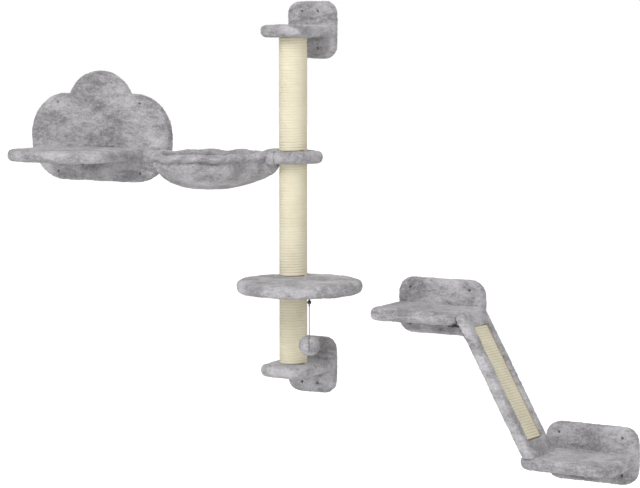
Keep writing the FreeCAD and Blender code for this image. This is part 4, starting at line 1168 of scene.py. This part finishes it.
# -----------------------------------------------------------------------------------------------------------
# Hammock
# -----------------------------------------------------------------------------------------------------------
@dataclass
class Hammock:
    """Plush sling hung in a rod ring, with a thick soft hem.

    Attributes:
        finish: Its plush.
        axis: The column's axis at the collar's middle height.
        reach: Column axis to the middle of the ring.
        turn: How far it is swung forward from the wall's line, in radians.
        ring: Radius of the ring.
        hem: Radius of the hem over the rod.
        deep: Ring to the lowest point.
        floor: Radius of the flat bottom.
        cloth: Thickness of the sling.
        tail_end: Where the sling ends at the column, along the line from its axis to the ring.
        flat: Size of the sheet before it is sewn; not used.
        flat_area: Area of that sheet, with its rounded cut; not used.
        sleeve: Thickness of the sling where it is pulled over the collar.
        sleeve_soft: Rounding of the sleeve's edges.
        collar_radius: Radius of the collar.
        collar_thick: Thickness of the collar.
        opening: Half the ring's arc that stays free towards the collar, in radians.
        profile: At shares of the depth, the bowl's girth, how far its tail is drawn in and the tail's radius.
    """

    finish: Plush
    axis: Vector
    reach: float = 240 * MM
    turn: float = math.radians(20)
    ring: float = 156 * MM
    hem: float = 10 * MM
    deep: float = 91 * MM
    floor: float = 42 * MM
    cloth: float = 5 * MM
    tail_end: float = -42.65 * MM
    flat: tuple[float, float] = (0.42, 0.40)
    flat_area: float = 0.125
    sleeve: float = 4 * MM
    sleeve_soft: float = 12 * MM
    collar_radius: float = 80 * MM
    collar_thick: float = 30 * MM
    opening: float = math.radians(25)
    profile: tuple[tuple[float, float, float, float], ...] = (
        (0.00, 0.985, 0.00, 32.0 * MM),
        (0.14, 0.930, 0.00, 31.0 * MM),
        (0.24, 0.955, 0.00, 31.0 * MM),
        (0.34, 0.920, 0.00, 30.0 * MM),
        (0.50, 0.835, 0.06, 30.0 * MM),
        (0.67, 0.71, 0.20, 32.0 * MM),
        (0.82, 0.55, 0.38, 32.0 * MM),
        (0.93, 0.30, 0.56, 28.0 * MM),
        (1.00, 0.00, 0.72, 20.0 * MM),
    )

    def at_depth(self, share: float) -> tuple[float, float, float]:
        """Sizes of the sling's outline at a share of the depth.

        Args:
            share: The share of the depth.

        Returns:
            The bowl's radius, where the tail's nose lies and the tail's radius.
        """
        table = np.array(self.profile)
        girth, back, tail = (float(np.interp(share, table[:, 0], table[:, k])) for k in (1, 2, 3))
        radius = self.floor + (self.ring - self.floor) * girth
        away = -self.reach - self.tail_end
        return radius, self.tail_end + away * back, tail

    def rim(self, share: float, count: int) -> np.ndarray:
        """Outline of the sling at a share of the depth: a circle drawn out to a rounded tail.

        Args:
            share: The share of the depth.
            count: How many points are wanted.

        Returns:
            The points, evenly spread round it.
        """
        circle_points, tail_points = 240, 80
        radius, nose, tail = self.at_depth(share)
        big = -self.reach
        tail_x = nose - tail
        lean = math.asin(min(0.999, (radius - tail) / (tail_x - big)))
        dense = []
        for a in np.linspace(math.pi / 2 - lean, 3 * math.pi / 2 + lean, circle_points):
            dense.append((big + radius * math.cos(a), radius * math.sin(a)))
        for a in np.linspace(-math.pi / 2 + lean, math.pi / 2 - lean, tail_points):
            dense.append((tail_x + tail * math.cos(a), tail * math.sin(a)))
        dense.append(dense[0])
        line = np.array(dense)
        gone = np.concatenate([[0.0], np.cumsum(np.linalg.norm(np.diff(line, axis=0), axis=1))])
        wanted = np.linspace(0, gone[-1], count, endpoint=False)
        return np.stack([np.interp(wanted, gone, line[:, k]) for k in (0, 1)], axis=1)

    def placed(self, points: np.ndarray) -> np.ndarray:
        """Points of the hammock's own frame in the model's frame."""
        c, s = math.cos(self.turn), math.sin(self.turn)
        x = self.axis.x + points[:, 0] * c - points[:, 1] * s
        y = self.axis.y + points[:, 0] * s + points[:, 1] * c
        return np.stack([x, y, self.axis.z + points[:, 2]], axis=1)

    def build(self) -> list[bpy.types.Object]:
        """Model the sling and its hem.

        Returns:
            The sling and the hem.
        """
        sling, hem = self.bowl(), self.hem_roll()
        for piece in (sling, hem):
            piece.data.materials.clear()
            piece.data.materials.append(self.finish.material)
            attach(piece, "root")
            LOG.info("%s: %d faces", piece.name, len(piece.data.polygons))
        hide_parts("hammock_sling")
        return [sling, hem]

    def bowl(self) -> bpy.types.Object:
        """Sling with gathers that fan out from under its hem.

        Returns:
            The sling, thickened and roughened.
        """
        around, down = 300, 48
        rings = []
        for k in range(down):
            share = (k / (down - 1)) ** 0.9
            line = self.rim(share, around)
            centre = line.mean(axis=0)
            angle = np.arange(around) * math.tau / around
            tight = math.exp(-((share - 0.22) / 0.2) ** 2)
            broad = math.sin(math.pi * min(1.0, share * 0.85 + 0.08))
            folds = np.abs(np.sin(angle * 13 + 1.7 * np.sin(angle * 4 + 0.5))) ** 0.6 - 0.6
            pleats = 3.4 * folds + 1.4 * np.sin(angle * 31 + 5 * share)
            waves = 2.4 * np.sin(angle * 7 + 1.3 + 1.5 * share) + 1.8 * np.sin(angle * 12 + 2.0)
            gather = (pleats * tight + waves * broad) * MM
            away = line - centre
            away /= np.maximum(np.linalg.norm(away, axis=1), 1e-6)[:, None]
            line = line + away * gather[:, None]
            sag = -self.deep * share + 2.0 * MM * np.sin(angle * 5 + 1) * (1 - share)
            rings.append(np.column_stack([line, sag]))
        last = rings[-1]
        centre = last.mean(axis=0)
        for shrink in (0.8, 0.6, 0.4, 0.2, 0.08):
            ring = centre + (last - centre) * shrink
            ring[:, 2] = -self.deep - 1.0 * MM * (1 - shrink)
            rings.append(ring)
        points = self.placed(np.concatenate(rings + [centre[None, :]]))
        faces = []
        for k in range(len(rings) - 1):
            for j in range(around):
                n = (j + 1) % around
                faces.append((k * around + j, (k + 1) * around + j, (k + 1) * around + n, k * around + n))
        tip, base = len(points) - 1, (len(rings) - 1) * around
        faces += [(base + j, tip, base + (j + 1) % around) for j in range(around)]
        piece = mesh_piece("hammock_sling_plush", points, faces)
        face_outwards(piece)
        finish_modifier(piece, "SOLIDIFY", thickness=self.cloth, offset=-1.0)
        ruffle(piece, "sling", Pile(voxel=2.3 * MM, swell=3.0 * MM, clumps=2.4 * MM, proud=0.4 * MM))
        return piece

    def hem_roll(self) -> bpy.types.Object:
        """Thick hem over the rod, drawn on over the collar up to the column.

        Returns:
            The hem with the sleeve joined to it.
        """
        angles = np.linspace(self.opening, math.tau - self.opening, 200)
        wave = 2.2 * MM * np.sin(angles * 7 + 0.7) + 1.6 * MM * np.sin(angles * 12)
        ring = np.stack([-self.reach + self.ring * np.cos(angles), self.ring * np.sin(angles), wave], axis=1)
        lead = np.array([(-52, 47, 11), (-66, 52, 10), (-80, 57, 7), (-90, 61, 3)]) * MM
        tail = lead[::-1] * np.array([1, -1, 1])
        path = self.placed(np.concatenate([lead, ring, tail]))
        curve = bpy.data.curves.new("hem_line", "CURVE")
        curve.dimensions = "3D"
        spline = curve.splines.new("POLY")
        spline.points.add(len(path) - 1)
        for point, place in zip(spline.points, path):
            point.co = (*place, 1.0)
        curve.bevel_depth = self.hem
        curve.bevel_resolution = 4
        curve.use_fill_caps = True
        holder = bpy.data.objects.new("hammock_hem_plush", curve)
        bpy.context.scene.collection.objects.link(holder)
        only(holder)
        bpy.ops.object.convert(target="MESH")
        piece = bpy.context.object
        combine(piece, self.sleeve_over_collar(), "UNION")
        ruffle(piece, "hem", Pile(voxel=2.1 * MM, swell=2.6 * MM, clumps=3.0 * MM, proud=1.2 * MM))
        return piece

    def sleeve_over_collar(self) -> bpy.types.Object:
        """The end of the sling that is pulled over the collar, up to the column's side."""
        over = self.collar_thick + 2 * self.sleeve
        sleeve = add_disc("sleeve", self.axis, self.collar_radius + self.sleeve, over)
        bevel_edges(sleeve, self.sleeve_soft, 5, edge_level)
        rest_low = Vector((self.tail_end, -200 * MM, -100 * MM))
        rest = add_block("rest", rest_low, Vector((300 * MM, 200 * MM, 100 * MM)))
        rest.data.transform(Matrix.Translation(self.axis) @ Matrix.Rotation(self.turn, 4, "Z"))
        combine(sleeve, rest, "DIFFERENCE")
        return sleeve


# -----------------------------------------------------------------------------------------------------------
# Hanging toy
# -----------------------------------------------------------------------------------------------------------
@dataclass
class Toy:
    """Fluffy ball on a cord under the perch.

    Attributes:
        plush: The ball's plush.
        twine: The cord's finish.
        cord_across: The cord's diameter.
        parting_turn: Turn of the ball's parting about the upright, in radians.
        parting_wide: Half its width.
        parting_deep: Its depth, as a share of the radius.
        stretch: How much the ball is drawn out along X, Y and Z.
    """

    plush: Plush
    twine: Twine
    cord_across: float = 2.0 * MM
    parting_turn: float = math.radians(30)
    parting_wide: float = 2.6 * MM
    parting_deep: float = 0.2
    stretch: tuple[float, float, float] = (1.03, 1.03, 0.96)

    def build(self) -> list[bpy.types.Object]:
        """Model the ball and the cord.

        Returns:
            The two pieces.
        """
        return [self.ball(), self.cord()]

    def ball(self) -> bpy.types.Object:
        """Shaggy ball, a little flat, with a short parting where its two halves are tied.

        Returns:
            The ball.
        """
        low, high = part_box("toy_ball")
        centre, radius = (low + high) / 2, (high.x - low.x) / 2
        deselect()
        bpy.ops.mesh.primitive_ico_sphere_add(subdivisions=7, radius=radius, location=(0, 0, 0))
        piece = bpy.context.object
        piece.name = piece.data.name = "toy_ball_plush"
        across = Vector((math.cos(self.parting_turn), math.sin(self.parting_turn), 0))
        front = Vector((across.y, -across.x, 0))
        for vertex in piece.data.vertices:
            way = vertex.co.normalized()
            off = vertex.co.dot(across) / self.parting_wide
            facing = max(0.0, way.dot(front) * 0.8 + way.z * 0.6)
            pinch = self.parting_deep * math.exp(-off * off) * min(1.0, 1.4 * facing)
            vertex.co *= 1.0 - pinch
            vertex.co = [along * share for along, share in zip(vertex.co, self.stretch)]
            vertex.co += centre
        for label, scale, depth, strength, middle in (("lumps", 0.018, 2, 4.0 * MM, 0.45),
                                                      ("tufts", 0.005, 3, 4.0 * MM, 0.4)):
            finish_modifier(piece, "DISPLACE", texture=texture(f"ball_{label}", scale, depth),
                            texture_coords="LOCAL", direction="NORMAL", mid_level=middle, strength=strength)
        smooth(piece)
        piece.data.materials.append(self.plush.material)
        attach(piece, "ball")
        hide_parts("toy_ball")
        return piece

    def cord(self) -> bpy.types.Object:
        """Cord from the knot down to the ball.

        Returns:
            The cord.
        """
        low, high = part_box("toy_cord")
        x, y = (low.x + high.x) / 2, (low.y + high.y) / 2
        route = [(x, y, high.z), (x, y, (high.z + low.z) / 2), (x, y, low.z)]
        curve = bpy.data.curves.new("toy_cord_twine", "CURVE")
        curve.dimensions = "3D"
        spline = curve.splines.new("NURBS")
        spline.points.add(len(route) - 1)
        for point, place in zip(spline.points, route):
            point.co = (*place, 1.0)
        spline.order_u = 3
        spline.use_endpoint_u = True
        curve.bevel_depth = self.cord_across / 2
        curve.bevel_resolution = 4
        curve.use_fill_caps = True
        piece = bpy.data.objects.new("toy_cord_twine", curve)
        bpy.context.scene.collection.objects.link(piece)
        piece.data.materials.append(self.twine.material)
        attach(piece, "cord")
        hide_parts("toy_cord")
        return piece


# -----------------------------------------------------------------------------------------------------------
# Studio
# -----------------------------------------------------------------------------------------------------------
@dataclass(frozen=True)
class Lamp:
    """A soft square lamp.

    Attributes:
        name: Its name.
        place: Where it stands.
        across: Side of its square.
        power: Its power, in watts.
    """

    name: str
    place: tuple[float, float, float]
    across: float
    power: float

    def stand(self, aim: Vector) -> None:
        """Put the lamp in its place, turned to a point.

        Args:
            aim: The point.
        """
        data = bpy.data.lights.new(self.name, "AREA")
        data.size = self.across
        data.energy = self.power
        lamp = bpy.data.objects.new(self.name, data)
        bpy.context.scene.collection.objects.link(lamp)
        lamp.location = self.place
        lamp.rotation_euler = (aim - lamp.location).to_track_quat("-Z", "Y").to_euler()


@dataclass
class Studio:
    """Pale floor, white surround, soft lamps and the camera.

    Attributes:
        target: Point in the middle of the picture.
        azimuth: How far the camera stands to the right of square, in radians.
        elevation: How far it stands above level, in radians.
        distance: From the target to the camera.
        focal_share: Focal length as a share of the picture's width.
        sensor: Width of the camera's sensor, in millimetres.
        sight: How far the camera sees.
        floor_level: Height of the floor.
        floor_across: Side of the floor.
        floor_tone: Colour of the floor.
        floor_glow: Strength of the light that the floor gives off to the camera alone.
        dome: Strength of the light that comes from all round.
        aim: Point that the lamps are turned to.
        lamps: The lamps.
    """

    target: Vector = field(default_factory=lambda: Vector((0.01903, 0.0, -0.60294)))
    azimuth: float = math.radians(30)
    elevation: float = math.radians(5.7)
    distance: float = 5.9
    focal_share: float = 2085 / 640
    sensor: float = 36.0
    sight: float = 200.0
    floor_level: float = -1.75
    floor_across: float = 60.0
    floor_tone: Colour = (0.82, 0.82, 0.82)
    floor_glow: float = 0.60
    dome: float = 0.60
    aim: tuple[float, float, float] = (0.0, -0.1, -0.6)
    lamps: tuple[Lamp, ...] = (
        Lamp("key", (-0.4, -4.6, 2.8), 2.4, 132),
        Lamp("fill", (3.5, -3.6, 0.8), 3.0, 80),
        Lamp("bounce", (-1.2, -3.2, -1.4), 2.4, 18),
    )

    def build(self) -> None:
        """Set up the surround, the lamps and the camera."""
        self.surround()
        self.floor()
        for lamp in self.lamps:
            lamp.stand(Vector(self.aim))
        self.camera()

    def surround(self) -> None:
        """White to the camera and in reflections, a soft grey dome for the light."""
        world = bpy.data.worlds.new("surround")
        bpy.context.scene.world = world
        world.use_nodes = True
        graph = Graph(world.node_tree)
        grey = graph.tree.nodes["Background"]
        graph.feed(grey.inputs["Color"], WHITE)
        graph.feed(grey.inputs["Strength"], self.dome)
        white = graph.node("ShaderNodeBackground", Color=WHITE, Strength=1.0)
        either = graph.node("ShaderNodeMixShader", _0=graph.seen(), _1=Sock(graph, grey.outputs[0]), _2=white)
        graph.feed(graph.tree.nodes["World Output"].inputs["Surface"], either)

    def floor(self) -> None:
        """Pale floor that keeps the object's shadow."""
        deselect()
        bpy.ops.mesh.primitive_plane_add(size=self.floor_across, location=(0, 0, self.floor_level))
        floor = bpy.context.object
        floor.name = "floor"
        material = bpy.data.materials.new("pale_floor")
        material.use_nodes = True
        graph = Graph(material.node_tree)
        shader = graph.tree.nodes["Principled BSDF"]
        graph.feed(shader.inputs["Base Color"], self.floor_tone)
        graph.feed(shader.inputs["Roughness"], 0.9)
        pale = Sock(graph, shader.outputs[0])
        glow = graph.node("ShaderNodeEmission", Strength=self.floor_glow)
        lit = graph.node("ShaderNodeAddShader", _0=pale, _1=glow)
        either = graph.node("ShaderNodeMixShader", _0=graph.seen(), _1=pale, _2=lit)
        graph.feed(graph.tree.nodes["Material Output"].inputs["Surface"], either)
        floor.data.materials.append(material)

    def camera(self) -> None:
        """Camera at the photograph's angle."""
        a, e = self.azimuth, self.elevation
        back = Vector((math.sin(a) * math.cos(e), -math.cos(a) * math.cos(e), math.sin(e)))
        right = Vector((math.cos(a), math.sin(a), 0))
        up = back.cross(right)
        data = bpy.data.cameras.new("camera")
        data.sensor_fit = "HORIZONTAL"
        data.sensor_width = self.sensor
        data.lens = self.sensor * self.focal_share
        data.clip_end = self.sight
        camera = bpy.data.objects.new("camera", data)
        bpy.context.scene.collection.objects.link(camera)
        turn = Matrix((right, up, back)).transposed().to_4x4()
        camera.matrix_world = Matrix.Translation(self.target + back * self.distance) @ turn
        bpy.context.scene.camera = camera


# -----------------------------------------------------------------------------------------------------------
# The whole tree
# -----------------------------------------------------------------------------------------------------------
def dress_nodes(finishes: dict[str, Finish]) -> None:
    """Give every construction node that stays the finish of its record slot, but the ramp's straps and their
    screws a black one.

    Args:
        finishes: A finish for each slot of the record.
    """
    slots = {item["node"]: item["material_slot"] for item in frame["record"]["subparts"]}
    for name, item in frame["nodes"].items():
        # The ramp's straps and their screws are drawn black instead of in their record's steel.
        coated = name in ("ramp_straps", "ramp_strap_screws")
        item.data.materials.clear()
        item.data.materials.append(finishes["coated" if coated else slots[name]].material)


def main() -> None:
    """Build the object piece by piece, then the studio."""
    logging.basicConfig(level=logging.INFO, format="%(message)s")
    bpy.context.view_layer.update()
    scene = bpy.context.scene
    scene.view_settings.view_transform = "Standard"

    plush = Plush("plush_grey", "plush")
    toy_plush = Plush("plush_toy", "toy_plush", tuft=6 * MM)
    sisal = Sisal("sisal_rope", "sisal_rope")
    twine = Twine("brown_twine", "brown_cord")
    board = Board("fibreboard", "wood")
    steel = Steel("zinc_plate", "steel")
    brass = Steel("brass_insert", "brass", tone=(0.75, 0.58, 0.28))
    plastic = Plastic("black_plastic", "black_plastic")
    kraft = Kraft("kraft_tube", "cardboard")
    plain = (plush, toy_plush, sisal, twine, board, steel, brass, plastic, kraft)
    finishes = {item.slot: item for item in plain}
    finishes["coated"] = BlackSteel("black_coated_steel", "steel")
    dress_nodes(finishes)

    for end in ("top", "bottom"):
        PlateCover(f"{end}_wall_cover", plush).build()
        ShelfCover(f"{end}_shelf_cover", plush).build()
    for level, right_corner in (("upper", 20 * MM), ("lower", 40 * MM)):
        PlateCover(f"{level}_step_wall_cover", plush, corner=40 * MM, holes=(180 * MM, 100 * MM)).build()
        ShelfCover(f"{level}_step_cover", plush, corner=40 * MM, right_corner=right_corner).build()
    CrestCover("bed_back_cover", plush).build()
    ShelfCover("bed_seat_cover", plush, corner=90 * MM).build()
    DiscCover("hammock_collar_cover", plush).build()
    DiscCover("perch_cover", plush).build()
    for part in ("upper", "middle", "lower"):
        ColumnRope(f"{part}_post_rope", sisal).build()

    ramp = RampFrame()
    RampCover("ramp_cover", plush, frame=ramp).build()
    RampRope(ramp, sisal).build()

    collar_low, collar_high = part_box("hammock_collar_cover")
    Hammock(plush, (collar_low + collar_high) / 2).build()
    Toy(toy_plush, twine).build()
    Studio().build()


if __name__ == "__main__":
    main()
